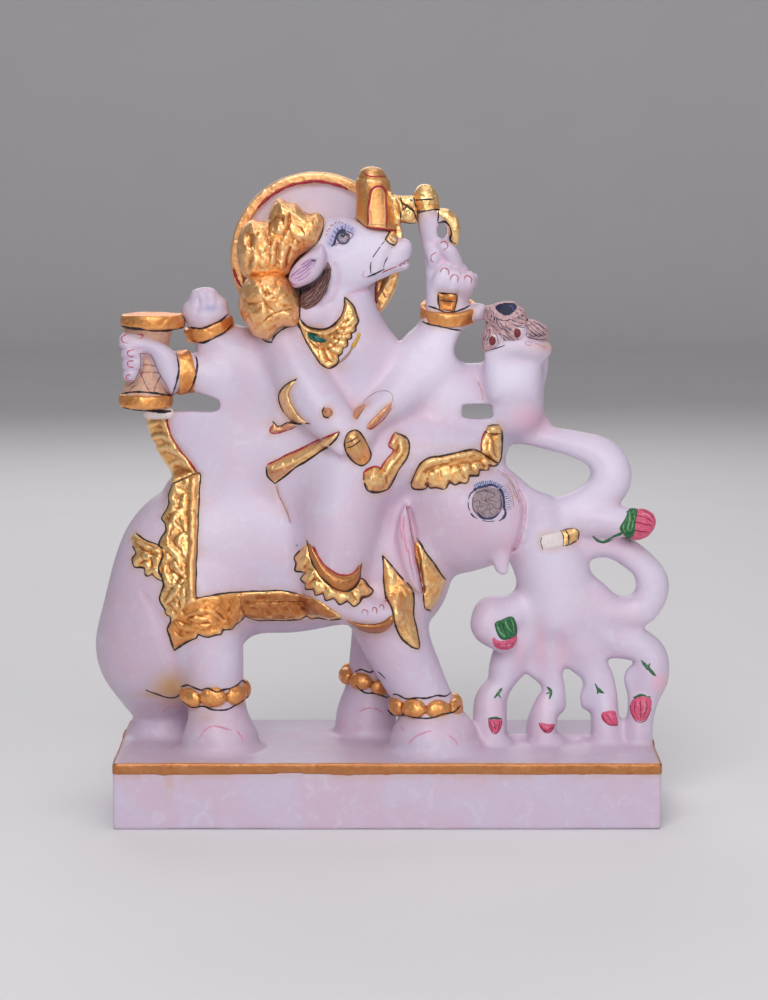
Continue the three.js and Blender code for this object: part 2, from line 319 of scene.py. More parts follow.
class Outline:
    """A closed outline's distance in its own plane, kept on a fine raster. Runs are smooth within
    themselves and meet in corners."""

    STEP = 0.4

    def __init__(self, *runs, closed=False, margin=5.0):
        self.points = np.vstack([curve(r, 5, closed) if len(r) > 2 else np.array(r, float) for r in runs])
        p = self.points
        self.low = p.min(0) - margin
        self.high = p.max(0) + margin
        us = np.arange(self.low[0], self.high[0], self.STEP)[:, None].astype(np.float32)
        vs = np.arange(self.low[1], self.high[1], self.STEP)[None, :].astype(np.float32)
        square = np.full((us.size, vs.size), 1e9, np.float32)
        inside = np.zeros(square.shape, bool)
        for a, b in zip(p, np.roll(p, -1, 0)):
            du, dv = b - a
            t = np.clip(((us - a[0]) * du + (vs - a[1]) * dv) / (du * du + dv * dv + 1e-9), 0, 1)
            square = np.minimum(square, (us - a[0] - t * du) ** 2 + (vs - a[1] - t * dv) ** 2)
            if a[1] != b[1]:
                side = ((a[1] > vs) != (b[1] > vs)) & (us < du * (vs - a[1]) / dv + a[0])
                inside ^= side
        self.raster = np.sqrt(square) * np.where(inside, -1, 1)

    def at(self, u, v):
        return on_raster(self.raster, self.low, self.STEP, u, v, 1)


class Relief:
    """Heights drawn on a raster: rounded strokes and dabs that stand up, and scored lines."""

    STEP = 0.25

    def __init__(self, low, high):
        self.low = np.array(low, float)
        self.high = np.array(high, float)
        self.us = np.arange(self.low[0], self.high[0], self.STEP)[:, None]
        self.vs = np.arange(self.low[1], self.high[1], self.STEP)[None, :]
        self.height = np.zeros((self.us.size, self.vs.size), np.float32)

    def window(self, low, high):
        i, j = [slice(np.searchsorted(c.ravel(), l), np.searchsorted(c.ravel(), h)) for c, l,
            h in zip((self.us, self.vs), low, high)]
        return i, j

    def stroke(self, points, width, rise, ends=0.35):
        """A rounded ridge `width` across, thinner towards its ends. A negative rise scores a groove."""
        p = curve(points) if len(points) > 2 else np.array(points, float)
        along = np.linspace(0, 1, len(p))
        half = width / 2 * (ends + (1 - ends) * np.sin(math.pi * np.clip(along, 0.001, 0.999)) ** 0.5)
        i, j = self.window(p.min(0) - width, p.max(0) + width)
        us, vs = self.us[i], self.vs[:, j]
        best = np.full((us.size, vs.size), 9.0, np.float32)
        for a, b, h, g in zip(p[:-1], p[1:], half[:-1], half[1:]):
            du, dv = b - a
            t = np.clip(((us - a[0]) * du + (vs - a[1]) * dv) / (du * du + dv * dv + 1e-9), 0, 1)
            gap = np.hypot(us - a[0] - t * du, vs - a[1] - t * dv)
            best = np.minimum(best, gap / (h + t * (g - h)))
        self.lay(i, j, best, rise)

    def lay(self, i, j, best, rise):
        swell = np.clip(1 - best * best, 0, 1) ** 0.75 * abs(rise)
        if rise > 0:
            self.height[i, j] = np.maximum(self.height[i, j], swell)
        else:
            self.height[i, j] -= swell

    def dab(self, centre, radii, angle, rise):
        """A rounded oval lump."""
        reach = max(radii)
        i, j = self.window(np.array(centre) - reach, np.array(centre) + reach)
        du, dv = self.us[i] - centre[0], self.vs[:, j] - centre[1]
        c, s = math.cos(math.radians(angle)), math.sin(math.radians(angle))
        best = np.hypot((du * c + dv * s) / radii[0], (dv * c - du * s) / radii[1])
        self.lay(i, j, best, rise)

    def dabs(self, rise, *rows):
        for centre, radii, angle in rows:
            self.dab(centre, radii, angle, rise)

    def at(self, u, v):
        return on_raster(self.height, self.low, self.STEP, u, v, 0)


def cornered(first, *rest):
    """An outline of runs, each of which goes on from the last point of the run before."""
    runs = [first]
    for run in rest:
        runs.append([runs[-1][-1], *run])
    return Outline(*runs)


def on_raster(raster, low, step, u, v, beyond):
    """A raster's value between its own points. Beyond its edge it is its edge, or nothing."""
    u, v = np.broadcast_arrays(u, v)
    a = (u - low[0]) / step
    b = (v - low[1]) / step
    n, m = raster.shape
    out = (a < 0) | (b < 0) | (a > n - 1) | (b > m - 1)
    a, b = np.clip(a, 0, n - 1.001), np.clip(b, 0, m - 1.001)
    i, j = a.astype(int), b.astype(int)
    s, t = (a - i).astype(np.float32), (b - j).astype(np.float32)
    value = (raster[i, j] * (1 - s) + raster[i + 1, j] * s) * (1 - t)
    value = value + (raster[i, j + 1] * (1 - s) + raster[i + 1, j + 1] * s) * t
    if not beyond:
        value = np.where(out, 0, value)
    return value


def slab(outline, y0, y1, edge=2.0):
    """An outline as a plate between two depths, its edges rounded."""
    low, high = box_behind(outline.low, outline.high, (y0, y1))

    def distance(x, y, z):
        u, v = seen(x, y, z)
        return rounded(edge, outline.at(u, v), np.abs(y - (y0 + y1) / 2) - (y1 - y0) / 2)

    return Form(low, high, distance)


def turned(profile, place, lean=(0, 0), facets=0.0):
    """A turned form: an outline of radius and height round an upright axis that may lean. With
    facets it draws towards eight flat sides."""
    section = Outline(*profile, margin=14.0)
    px, py, pz = place
    reach = section.points.max(0)
    r, top = reach[0], max(reach[1], -section.points[:, 1].min())
    lx, ly = math.tan(math.radians(lean[0])), math.tan(math.radians(lean[1]))

    def distance(x, y, z):
        dz = z - pz
        dx, dy = x - px - lx * dz, y - py - ly * dz
        around = np.hypot(dx, dy)
        if facets:
            flat = np.maximum(np.maximum(np.abs(dx), np.abs(dy)), (np.abs(dx) + np.abs(dy)) * 0.7071)
            around = around + facets * (flat - around)
        return section.at(around, dz + 0 * around)

    side = r + abs(lx) * top + abs(ly) * top
    low, high = (px - side, py - side, pz + section.points[:, 1].min()), (px + side, py + side,
        pz + reach[1])
    return Form(low, high, distance)


def bangle(centre, radii, height, tilt, yaw):
    """A flat band round a limb. It lies level until it is tilted towards +X, and yawed towards +Y."""
    cx, cy, cz = centre
    a, b = math.radians(tilt), math.radians(yaw)
    axis = np.array([math.sin(a) * math.cos(b), math.sin(b), math.cos(a) * math.cos(b)])
    side = np.array([math.cos(a), 0.0, -math.sin(a)])
    depth = np.cross(axis, side)
    reach = max(radii) + height
    thick, edge = 3.4, 1.2

    def distance(x, y, z):
        dx, dy, dz = x - cx, y - cy, z - cz
        up = dx * axis[0] + dy * axis[1] + dz * axis[2]
        s = (dx * side[0] + dy * side[1] + dz * side[2]) / radii[0]
        d = (dx * depth[0] + dy * depth[1] + dz * depth[2]) / radii[1]
        out = (np.sqrt(s * s + d * d) - 1) * min(radii)
        return rounded(edge, np.abs(out + thick / 2) - thick / 2, np.abs(up) - height / 2)

    return form_round(centre, reach, distance)


def block(low, high, edge):
    """A box with rounded edges."""
    low, high = np.array(low, float), np.array(high, float)
    middle, half = (low + high) / 2, (high - low) / 2

    def distance(x, y, z):
        return rounded(edge, *[np.abs(c - m) - h for c, m, h in zip((x, y, z), middle, half)])

    return Form(low, high, distance)


# Meshes

def shells(count, faces):
    """A number for each point, the same over each closed shell."""
    label = np.arange(count)
    while True:
        low = label[faces].min(axis=1)
        new = label.copy()
        for column in range(faces.shape[1]):
            np.minimum.at(new, faces[:, column], low)
        new = new[new]
        if (new == label).all():
            return label
        label = new


def eased(points, faces, rounds):
    """The points, each drawn towards its neighbours' middle, which takes the grid's steps out."""
    pairs = np.concatenate([faces[:, [i, (i + 1) % faces.shape[1]]] for i in range(faces.shape[1])])
    pairs = np.concatenate([pairs, pairs[:, ::-1]])
    count = np.bincount(pairs[:, 0], minlength=len(points))[:, None].clip(1)
    for _ in range(rounds):
        total = [np.bincount(pairs[:, 0], points[pairs[:, 1], i], len(points)) for i in range(3)]
        points = points + 0.5 * (np.stack(total, 1) / count - points)
    return points


def skinned(clay, rounds=2, least=60):
    """The surface of a clay as points and four-sided faces, without loose crumbs."""
    grid = openvdb.FloatGrid(FAR)
    grid.copyFromArray(np.ascontiguousarray(clay.field))
    points, quads = grid.convertToQuads(0.0)
    quads = quads.astype(int)
    label = shells(len(points), quads)
    size = np.bincount(label[quads[:, 0]], minlength=len(points))
    quads = quads[size[label[quads[:, 0]]] >= least]
    used = np.unique(quads)
    number = np.zeros(len(points), int)
    number[used] = np.arange(len(used))
    points, quads = points[used].astype(float), number[quads]
    points = eased(points, quads, rounds)
    return points * clay.cell + clay.low, quads


def outward(points, faces):
    """The faces turned so that the shell's volume is positive."""
    a, b, c = points[faces[:, 0]], points[faces[:, 1]], points[faces[:, 2]]
    volume = np.einsum("ij,ij->i", a, np.cross(b, c)).sum()
    if faces.shape[1] == 4:
        d = points[faces[:, 3]]
        volume += np.einsum("ij,ij->i", a, np.cross(c, d)).sum()
    return faces if volume > 0 else faces[:, ::-1]


def piece(name, points, faces, material, slot, most=None):
    """A Blender object from points in millimetres, thinned to half its triangles or to `most`."""
    faces = outward(points, faces)
    mesh = bpy.data.meshes.new(name)
    mesh.vertices.add(len(points))
    mesh.vertices.foreach_set("co", (points * MM).astype(np.float32).ravel())
    mesh.loops.add(faces.size)
    mesh.loops.foreach_set("vertex_index", faces.astype(np.int32).ravel())
    mesh.polygons.add(len(faces))
    mesh.polygons.foreach_set("loop_start", np.arange(0, faces.size, faces.shape[1], dtype=np.int32))
    mesh.update(calc_edges=True)
    mesh.validate()
    thing = bpy.data.objects.new(name, mesh)
    bpy.context.scene.collection.objects.link(thing)
    count = len(faces) * (faces.shape[1] - 2)
    most = most or max(FEW_TRIANGLES, count // 2)
    if count > most:
        thinner = thing.modifiers.new("thinner", "DECIMATE")
        thinner.ratio = most / count
        shaped = thing.evaluated_get(bpy.context.evaluated_depsgraph_get())
        thing.data = bpy.data.meshes.new_from_object(shaped)
        thing.modifiers.clear()
    thing.data.materials.clear()
    thing.data.materials.append(material)
    thing.data.polygons.foreach_set("use_smooth", [True] * len(thing.data.polygons))
    thing.data.update()
    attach(thing, "root")
    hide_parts("manibhadra_idol")
    return thing


def spots(thing):
    """The points of a finished piece, in millimetres."""
    at = np.empty(len(thing.data.vertices) * 3, np.float32)
    thing.data.vertices.foreach_get("co", at)
    return at.reshape(-1, 3) / MM


def stamp(thing, name, values):
    """Keeps a number on each point, for the material to read."""
    layer = thing.data.attributes.new(name, "FLOAT", "POINT")
    layer.data.foreach_set("value", np.asarray(values, np.float32))


def bend(clay, points, reach=1.0):
    """How the surface bends: above zero on ridges and below it in hollows."""
    total = -6 * clay.sample(*points.T)
    for step in np.vstack([np.eye(3), -np.eye(3)]) * reach:
        total = total + clay.sample(*(points + step).T)
    return total / reach


# Skins over the carving

carved = []


def carving_at(x, y, z):
    """The distance to everything carved so far."""
    near = np.full(np.shape(x), FAR, float)
    for clay in carved:
        inside = np.ones(np.shape(x), bool)
        for c, low, high in zip((x, y, z), clay.low, clay.high):
            inside &= (c >= low) & (c <= high)
        if inside.any():
            near[inside] = np.minimum(near[inside], clay.sample(x[inside], y[inside], z[inside]))
    return near


def gilt(name, outline, rise, material, relief=None, span=FRONT, edge=1.3, cell=GILT_CELL, deep=1.1,
        slot="gilding", crumple=0.0, over=()):
    """A skin over the marble within an outline, thin at its edge and carrying a relief."""
    low, high = box_behind(outline.points.min(0) - 1, outline.points.max(0) + 1, span)
    clay = Clay(low, high, cell)
    stone = marble.finer(clay)
    for other in over:
        stone = np.minimum(stone, other.finer(clay))
    x, y, z = clay.everywhere()
    u, v = seen(x, y, z)
    flat = outline.at(u, v)
    inside = np.clip(-flat / edge, 0, 1)
    height = rise * np.sqrt(inside) - EDGE_SUNK
    if relief:
        height = height + relief.at(u, v) * inside
    if crumple:
        height = height + crumple * inside * noise(x, y, z, WRINKLE, WRINKLE_SEED)
    front = Clay(low, high, cell)
    front.field = (stone - height).astype(np.float32)
    skin = np.maximum(front.field, -(stone + deep))
    skin = np.maximum(skin, flat - EDGE_SPILL)
    skin = np.maximum(skin, np.abs(y - (span[0] + span[1]) / 2) - (span[1] - span[0]) / 2 + cell)
    clay.field = skin.astype(np.float32)
    thing = cast(name, clay, material, slot)
    # How the gilding bends, for its painted highlights on the ridges and painted shade in the hollows
    stamp(thing, "ridge_light_hollow_shade", bend(front, spots(thing)))


def cast(name, clay, material, slot, rounds=2):
    """The piece that a finished clay makes. The clay stays, for the paint that lies over it."""
    pad(clay)
    carved.append(clay)
    points, faces = skinned(clay, rounds)
    return piece(name, points, faces, material, slot)


def pad(clay):
    """Closes the field at the sides of its block."""
    f = clay.field
    for axis in range(3):
        for end in (0, -1):
            face = [slice(None)] * 3
            face[axis] = end
            f[tuple(face)] = np.maximum(f[tuple(face)], clay.cell * 0.5)


def shaped(name, forms, material, slot="gilding", cell=GILT_CELL, soft=1.0, cuts=(), rough=None,
        reliefs=()):
    """A small solid of its own, from forms that run into each other."""
    low = np.min([f.low for f in forms], 0) - 2
    high = np.max([f.high for f in forms], 0) + 2
    clay = Clay(low, high, cell)
    for form in forms:
        clay.add(form, soft)
    for form in cuts:
        clay.cut(form, 0.4)
    if rough:
        clay.field = clay.field - rough(*clay.everywhere()).astype(np.float32)
    for relief, span in reliefs:
        clay.emboss(relief, span)
    thing = cast(name, clay, material, slot)
    # How the form bends, for painted highlights on its ridges and painted shade in its hollows
    stamp(thing, "ridge_light_hollow_shade", bend(clay, spots(thing)))
    return thing


def wash(name, outline, rise, material, cell, over):
    """A thin wash of another gold over gilding."""
    gilt(name, outline, rise, material, None, edge=0.5, cell=cell, deep=0.7, over=over)


# Painted strokes

def landed(u, v, span):
    """Where the lines of sight through (u, v) first meet the carving, or nothing."""
    depths = np.arange(span[0], span[1], SIGHT_STEP)
    uu, yy = np.meshgrid(u, depths, indexing="ij")
    vv = np.meshgrid(v, depths, indexing="ij")[0]
    x, z = placed(uu, vv, yy)
    near = carving_at(x, yy, z)
    hit = near < TOUCH
    first = hit.argmax(axis=1)
    y = depths[first] - SIGHT_STEP / 2
    y[~hit.any(axis=1)] = np.nan
    return y


def facing(x, y, z):
    """The surface's outward direction at points on the carving."""
    reach = 0.7
    slope = []
    for a, b, c in np.eye(3) * reach:
        slope.append(carving_at(x + a, y + b, z + c) - carving_at(x - a, y - b, z - c))
    slope = np.stack(slope, 1)
    size = np.linalg.norm(slope, axis=1, keepdims=True)
    return np.where(size > 1e-6, slope / np.maximum(size, 1e-6), (0, -1, 0))


def eased_line(values, rounds):
    for _ in range(rounds):
        middle = values.copy()
        middle[1:-1] = (values[:-2] + 2 * values[1:-1] + values[2:]) / 4
        values = middle
    return values


def painted(name, strokes, material, bold=1.0, **common):
    """Hand-painted lines: each stroke is its points, its width, and any settings of its course."""
    all_points, all_faces, start = [], [], 0
    for number, (points, width, *how) in enumerate(strokes):
        settings = {**common, **how[0]} if how else common
        points, faces = one_stroke(points, width * bold, number, **settings)
        if points is None:
            continue
        all_points.append(points)
        all_faces.append(faces + start)
        start += len(points)
    piece(name, np.vstack(all_points), np.vstack(all_faces), material, "paint")


def one_stroke(points, width, number, straight=False, taper=0.35, span=SIGHT, lift=0.13, ease=3,
        wander=0.12):
    """A stroke's points and faces: a flat bead that lies where its line of sight meets the carving."""
    p = np.array(points, float)
    if not straight and len(p) > 2:
        p = curve(p, 8)
    lengths = np.concatenate([[0], np.cumsum(np.hypot(*np.diff(p, axis=0).T))])
    count = max(4, int(lengths[-1] / STROKE_STEP) + 1)
    along = np.linspace(0, lengths[-1], count)
    u = np.interp(along, lengths, p[:, 0])
    v = np.interp(along, lengths, p[:, 1])
    wave = np.random.default_rng(STROKE_SEED + number)
    phases = wave.uniform(0, 6.28, 4)
    u = u + wander * np.sin(along * WAVES[0] + phases[0])
    v = v + wander * np.sin(along * WAVES[1] + phases[1])
    y = landed(u, v, span)
    good = ~np.isnan(y)
    if good.sum() < 3:
        return None, None
    seen_part = slice(good.argmax(), count - good[::-1].argmax())
    along, u, v, y, good = [a[seen_part] for a in (along, u, v, y, good)]
    along, count = along - along[0], len(along)
    y = np.interp(along, along[good], y[good])
    y = eased_line(y, ease)
    x, z = placed(u, v, y)
    at = np.stack([x, y, z], 1)
    out = facing(x, y, z)
    for i in range(3):
        out[:, i] = eased_line(out[:, i], 4)
    out /= np.linalg.norm(out, axis=1, keepdims=True)
    run = np.gradient(at, axis=0)
    across = np.cross(run, out)
    across /= np.linalg.norm(across, axis=1, keepdims=True) + 1e-9
    ends = np.clip(np.minimum(along, along[-1] - along) / (2.5 * width), 0, 1) ** 0.5
    uneven = 1 + 0.16 * np.sin(along * WAVES[2] + phases[2]) + 0.1 * np.sin(along * WAVES[3] + phases[3])
    half = width / 2 * (taper + (1 - taper) * ends) * uneven
    section = ((-1, -0.12), (-0.55, lift), (0.55, lift), (1, -0.12), (0, -0.4))
    rings = np.stack([at + across * (half * s)[:, None] + out * h for s, h in section], 1)
    return rings.reshape(-1, 3), tube_faces(count, len(section))


def tube_faces(count, sides):
    """Triangles of a closed tube with `count` rings."""
    ring = np.arange(sides)
    turn = (ring + 1) % sides
    faces = []
    for k in range(count - 1):
        a, b = k * sides + ring, k * sides + turn
        faces.append(np.stack([a, b, b + sides], 1))
        faces.append(np.stack([a, b + sides, a + sides], 1))
    fan = np.array([[0, i + 1, i] for i in range(1, sides - 1)])
    last = (count - 1) * sides
    faces.append(fan)
    faces.append(fan[:, ::-1] + last)
    return np.vstack(faces)


# The marble

def plinth():
    wide, deep, tall = PLINTH
    return [block((-wide, -deep, 0), (wide, deep, tall), 1.4)]


def elephant_body():
    return [ball((-98, 5, 97), (35, 29, 52.5), 15), ball((-111.5, 10, 74), (26, 22, 26)),
        ball((-90, 5, 116), (34, 25, 37)), ball((-50, 4, 121), (57, 30, 38)),
        ball((2, 3, 116), (29, 27, 35))]


def elephant_head():
    return [ball((33, 0, 141), (28, 25, 29)), ball((49.5, -4, 139), (18.5, 21.5, 20.5))]


def elephant_ear():
    """A narrow pointed flap, its front edge standing free of the cheek."""
    edge = cornered([(9, 145.2), (11.2, 132.4), (13.2, 118), (16.2, 101.8)],
        [(11.4, 105.6), (7, 117), (4.8, 129.4), (6.2, 139), (9, 145.2)])
    return [slab(edge, -26.5, -12, 2.6)]


def elephant_legs():
    return {"near hind": [limb([(-86, -12, 104, 18), (-82, -15, 78, 15), (-80.5, -15, 58, 13.5),
        (-79, -16, 44, 14.5), (-78, -17, 31, 19)])],
        "near fore": [limb([(0.5, -11, 94, 18), (6, -13, 77.5, 15.5), (17.5, -15, 54, 13.2),
            (20.5, -16, 42, 16), (22.5, -17, 31, 22)])],
        "far fore": [limb([(-1, 15, 90, 15), (-6, 18, 66.5, 12.0), (-8.5, 19, 52, 11.5),
            (-10, 19, 38, 14.5), (-9.5, 19, 28, 14.5)])],
        "far hind": [limb(
            [(-112, 13, 76, 22), (-111, 15, 58, 18.5), (-107.5, 17, 42, 14.0), (-107.5, 17, 26, 18)])]}


def trunks():
    return {"root": [
        limb([(55.8, 2, 160.4, 10), (67.4, 2, 136.8, 16), (77.8, 3, 114.8, 18), (80, 3, 93.6, 15)]),
        ball((84, 3, 97), (24, 13, 17))],
        "upper loop": [limb([(54.4, 2, 174.6, 2.6), (62.4, 2, 174.8, 3), (76, 2, 174.6, 5.6),
            (89.6, 2, 171.4, 7.2), (101.4, 2, 165.6, 9.6), (104.2, 2, 155.8, 10.4), (94.6, 2, 145.4, 9.6),
            (79.6, 2, 138.6, 9)])],
        "bud": [limb(
            [(81.8, 0, 135.2, 8), (97.4, -4, 137.2, 7.8), (108, -6, 137, 7.4), (115.6, -6, 136.6, 6.2)])],
        "lower loop": [limb([(91, 2, 126.4, 8), (108.8, 2, 123, 7.5), (124.2, 2, 108.2, 8.2),
            (119.6, 2, 94.8, 8.4), (103, 2, 92.8, 9), (87, 2, 99.6, 9)])],
        "outermost": [limb([(88.4, 3, 90.8, 9), (105.6, 3, 81.2, 9), (122.2, 3, 73.4, 9),
            (125, 1, 63.2, 8.6), (122.8, 0, 53.8, 6.6), (120.2, -2, 47.4, 6.4), (118.8, -4, 35.8, 7)])],
        "third": [limb([(82.8, 3, 87.8, 10.5), (94.8, 2, 72.2, 8.4), (100.4, 1, 57.4, 7.2),
            (102.8, -1, 47.2, 7.4), (103.2, -3, 34.6, 8.5)])],
        "second": [limb([(75.8, 3, 86, 9.5), (78.2, 1, 69, 7), (77.8, 0, 55.8, 5.6),
            (75.2, -2, 45.6, 7.4), (74.8, -5, 34.2, 8.5)])],
        "first": [limb([(67.6, 3, 87.8, 10), (57.2, 0, 70.2, 8), (54, -2, 59, 6.6), (48.6, -4, 50.8, 7.4),
            (49.6, -8, 34.2, 9)])],
        "web": [slab(cornered([(53.4, 96), (81.6, 103.8), (119.6, 81.6), (127.2, 74), (127, 50.8),
            (124.8, 39.2), (120.2, 30.6)],
            [(43.2, 30.6), (42.2, 40.2), (42.2, 48), (44, 51.8), (48.4, 54.2), (50.2, 65.4), (52.4, 75),
                (53.4, 96)]), -3.5, 7, 4.5)],
        "curl": [limb([(66, 0, 96, 8), (56, -4, 92.5, 8.4), (47.5, -7, 88.5, 8.4), (54, -9, 82, 6.5)]),
            ball((49, -4, 94.4), (7.5, 7.5, 7))]}


def elephant_tusk():
    return [limb([(52.6, -15, 124.2, 4.6), (53.2, -16, 118.2, 3.6), (54, -17, 116, 2.4)])]


def halo_disc():
    """A round disc behind the head, its rim a little higher than its field."""
    rim, back = 5.0, 19.0
    inner = HALO_RADIUS - rim

    def distance(x, y, z):
        around = np.hypot(x - HALO[0], z - HALO[1])
        front = 12.4 - 1.4 * smooth_step(inner - 0.8, inner + 0.4, around)
        return rounded(1.4, around - HALO_RADIUS, np.maximum(front - y, y - back))

    return Form((-73, 11, 220), (6, 19, 299), distance)


def stole():
    """The cloth that joins the arms to the body and hangs down behind on the elephant."""
    edge = Outline([(-113, 186), (-108, 196), (-98, 203), (-88, 228), (-73, 227), (-58, 226), (20, 218),
        (28, 208), (38, 205), (48, 207), (74, 216), (72, 192), (75, 181.5), (60, 178), (54, 168),
        (25, 150), (-90, 152), (-98, 158), (-103, 166)])
    return [slab(edge, 3, 20, 3.0)]


def saddle_cloth():
    """The plain front from the rider's breast down over the flank, its foot leaning a little out."""
    edge = cornered([(-101.4, 155), (-89, 158.8)],
        [(-93.2, 165.4), (-97.8, 171.2), (-101.6, 178.2), (-102.8, 187.2)],
        [(-80.4, 199.4), (-66.2, 207.8), (-40.6, 207.8), (6, 179.6)], [(6.2, 137), (4.2, 99)],
        [(-19.8, 89.4), (-41, 88.8), (-67, 89.8), (-81.2, 81.6), (-90.2, 79.8), (-100.6, 74)],
        [(-104.2, 91.8), (-106, 108.6), (-106.8, 125.2), (-104.8, 139.4), (-101.4, 155)])
    low, high = box_behind(edge.low, edge.high, (-32, 30))

    def distance(x, y, z):
        u, v = seen(x, y, z)
        front = -21.0 + 0.13 * np.clip(z - 118, 0, None) + 0.05 * np.clip(118 - z, 0, None)
        front = front + 0.0016 * (x + 50) ** 2
        return rounded(4.0, edge.at(u, v), np.maximum(front - y, y - 22))

    return Form(low, high, distance)


def rider_body():
    return {"lap": [ball((-24, 2, 162), (42, 25, 27)), ball((-18, 3, 192), (34, 23, 40))],
        "breast": [ball((-54, 3, 204), (27, 18, 22)), ball((12, 4, 200), (25, 18, 24))],
        "sides": [ball((-70, 4, 180), (34, 14, 32)), ball((40, 5, 188), (30, 13, 22))],
        "neck": [limb([(-17, -2, 220, 18), (-20, -2, 236, 15.0), (-25, -1, 252, 13.5)])]}


def rider_legs():
    return {"pendent": [
        limb([(-19.5, -12, 162, 20), (-22, -20, 137, 18), (-25, -25, 118, 14), (-25, -27, 107, 10.5)])],
        "foot": [
            limb([(-25, -27, 106, 9.5), (-17, -29, 101, 8.0), (-8, -31, 98, 5.8), (1, -32, 97.5, 4.2)])],
        "folded": [limb([(-4, -8, 168, 17), (24, -8, 172, 15), (43, -4, 174, 11)])]}


def front_arms():
    return {"left": [limb([(-47, -4, 222, 13.5), (-40, -14, 206, 13), (-32, -22, 194, 11.5),
        (-22, -27, 183.5, 9.5), (-15, -28, 178.5, 7.4)])],
        "right": [limb([(14, -4, 206, 13), (5, -14, 197, 9.5), (-5, -21, 189.5, 7), (-12, -26, 183, 6)])],
        "fingers": [limb([(-20, -31, 181, 3.6), (-16, -32.5, 178, 3.0), (-15, -33, 175, 2.4)]),
            limb([(-25, -31, 178.5, 3.8), (-21, -33, 174.5, 3.0)])]}


def left_back_arms():
    fist = cornered([(-95.8, 232), (-95, 237.6), (-92.4, 240.4), (-91.2, 243.6), (-88.8, 245.6),
        (-84.6, 246.4), (-80.8, 245.8), (-79, 244.2), (-76.8, 241.8), (-74.4, 240), (-74, 236.2),
        (-73.6, 232), (-84.8, 226.4)], [(-95.8, 232)])
    palm = cornered([(-124.6, 220), (-124.6, 222.8), (-123, 224.6), (-119.2, 224.6), (-114.2, 224),
        (-110, 222.6), (-104.4, 220.2), (-100.6, 217.2), (-98.2, 213.8), (-97, 207.2), (-98, 201.2),
        (-100.2, 197)], [(-101.6, 197.4)], [(-106, 206.4), (-110.2, 214.8)],
        [(-112.4, 215.4), (-114.6, 215.4)], [(-119.8, 216.2), (-124.6, 220)])
    fingers = cornered([(-124.4, 222.8), (-125, 219.4), (-123.8, 217.6), (-124.4, 215.2), (-123.6, 213),
        (-124, 210.6), (-123.4, 208), (-123.6, 205), (-121.8, 202.4), (-119, 202), (-116.2, 204),
        (-115, 207.2), (-114, 209.6), (-113.8, 212.4), (-114.4, 215.2), (-115.2, 219)], [(-124.4, 222.8)])
    return {"raised": [
        limb([(-83.8, 0, 232, 8.6), (-82, 1, 225, 9.6), (-72.4, 3, 214, 13), (-58.4, 3, 203.8, 16)])],
        "fist": [slab(fist, -7.5, 8, 5.5)],
        "lower": [limb([(-97, -6, 207.4, 8.2), (-88.8, -5, 206.8, 8.8), (-81.4, -3, 205.2, 11),
            (-72.4, 2, 203.4, 13.5), (-54.8, 3, 200, 17)])],
        "drum core": [limb([(-112.5, -4, 197, 8), (-112.5, -4, 224, 8)], 1)],
        "palm": [slab(palm, -18.0, -3, 4.5)], "fingers": [slab(fingers, -20.0, -4, 4.5)]}


def right_back_arms():
    hand = cornered(
        [(13.8, 283), (14.4, 275.2), (16.2, 266.8), (17.4, 256.2), (18, 240.4), (17.2, 230.2)],
        [(38.6, 230.2)],
        [(37.6, 236.6), (38.8, 244.2), (41.8, 247.2), (42, 252.2), (38.6, 253.4), (37, 256.4),
            (33.8, 258.8), (32, 263.8), (30.2, 266.4), (29, 269.2), (29.2, 272.8), (27.8, 277),
            (24.6, 280.8), (21.8, 284)], [(13.8, 283)])
    return {"raised": [limb([(8, 3, 200, 18), (20, 2, 214, 14.5), (29, 2, 228, 11.6)])],
        "hand": [slab(hand, -8.5, 8, 5.5)],
        "fingers": [limb([(31.4, -6, 258.4, 3.6), (29, -9, 263.2, 3.4), (25.8, -9, 265.8, 2.8)]),
            limb([(19.8, -6, 264.8, 2.8), (21.2, -9, 261.2, 3), (21.2, -8, 258.4, 2.6)]),
            limb([(22.6, -5, 246.4, 4), (24.8, -9.5, 250.8, 3.6), (26.8, -10, 255, 2.7)]),
            limb([(29.2, -5, 244.4, 4.2), (30.4, -10, 248.4, 3.8), (31.4, -10.5, 252.2, 2.9)]),
            limb([(35.2, -5, 244.4, 4), (37, -9.5, 248.4, 3.8), (37.8, -10, 251.6, 2.9)])],
        "knuckle": [ball((42.8, -2, 234.6), (4.6, 5, 4.6))],
        "lower": [limb(
            [(28, 2, 190, 16), (46, 0, 186, 12.5), (58.4, -2, 190.2, 13.4), (59.2, -4, 201.6, 13.2)]),
            slab(cornered([(45.6, 215.8), (55, 220), (63.8, 220.8), (72.8, 216.2)],
                [(71.8, 208.2), (70.6, 199.4), (70, 193.8)], [(48.2, 193.8)],
                [(46, 205.4), (45.6, 215.8)]), -18, 9, 6)],
        "palm": [limb([(47, -15, 217.4, 2.6), (55.6, -18, 220.6, 3.4), (64.4, -18, 220.6, 3.6),
            (70.6, -14, 218.2, 3.2)]), limb([(64.4, -17, 220.8, 3), (69, -18, 219, 2.6)]),
            limb([(68.2, -16, 221.2, 2.6), (72.8, -15, 219.2, 2.4)])]}


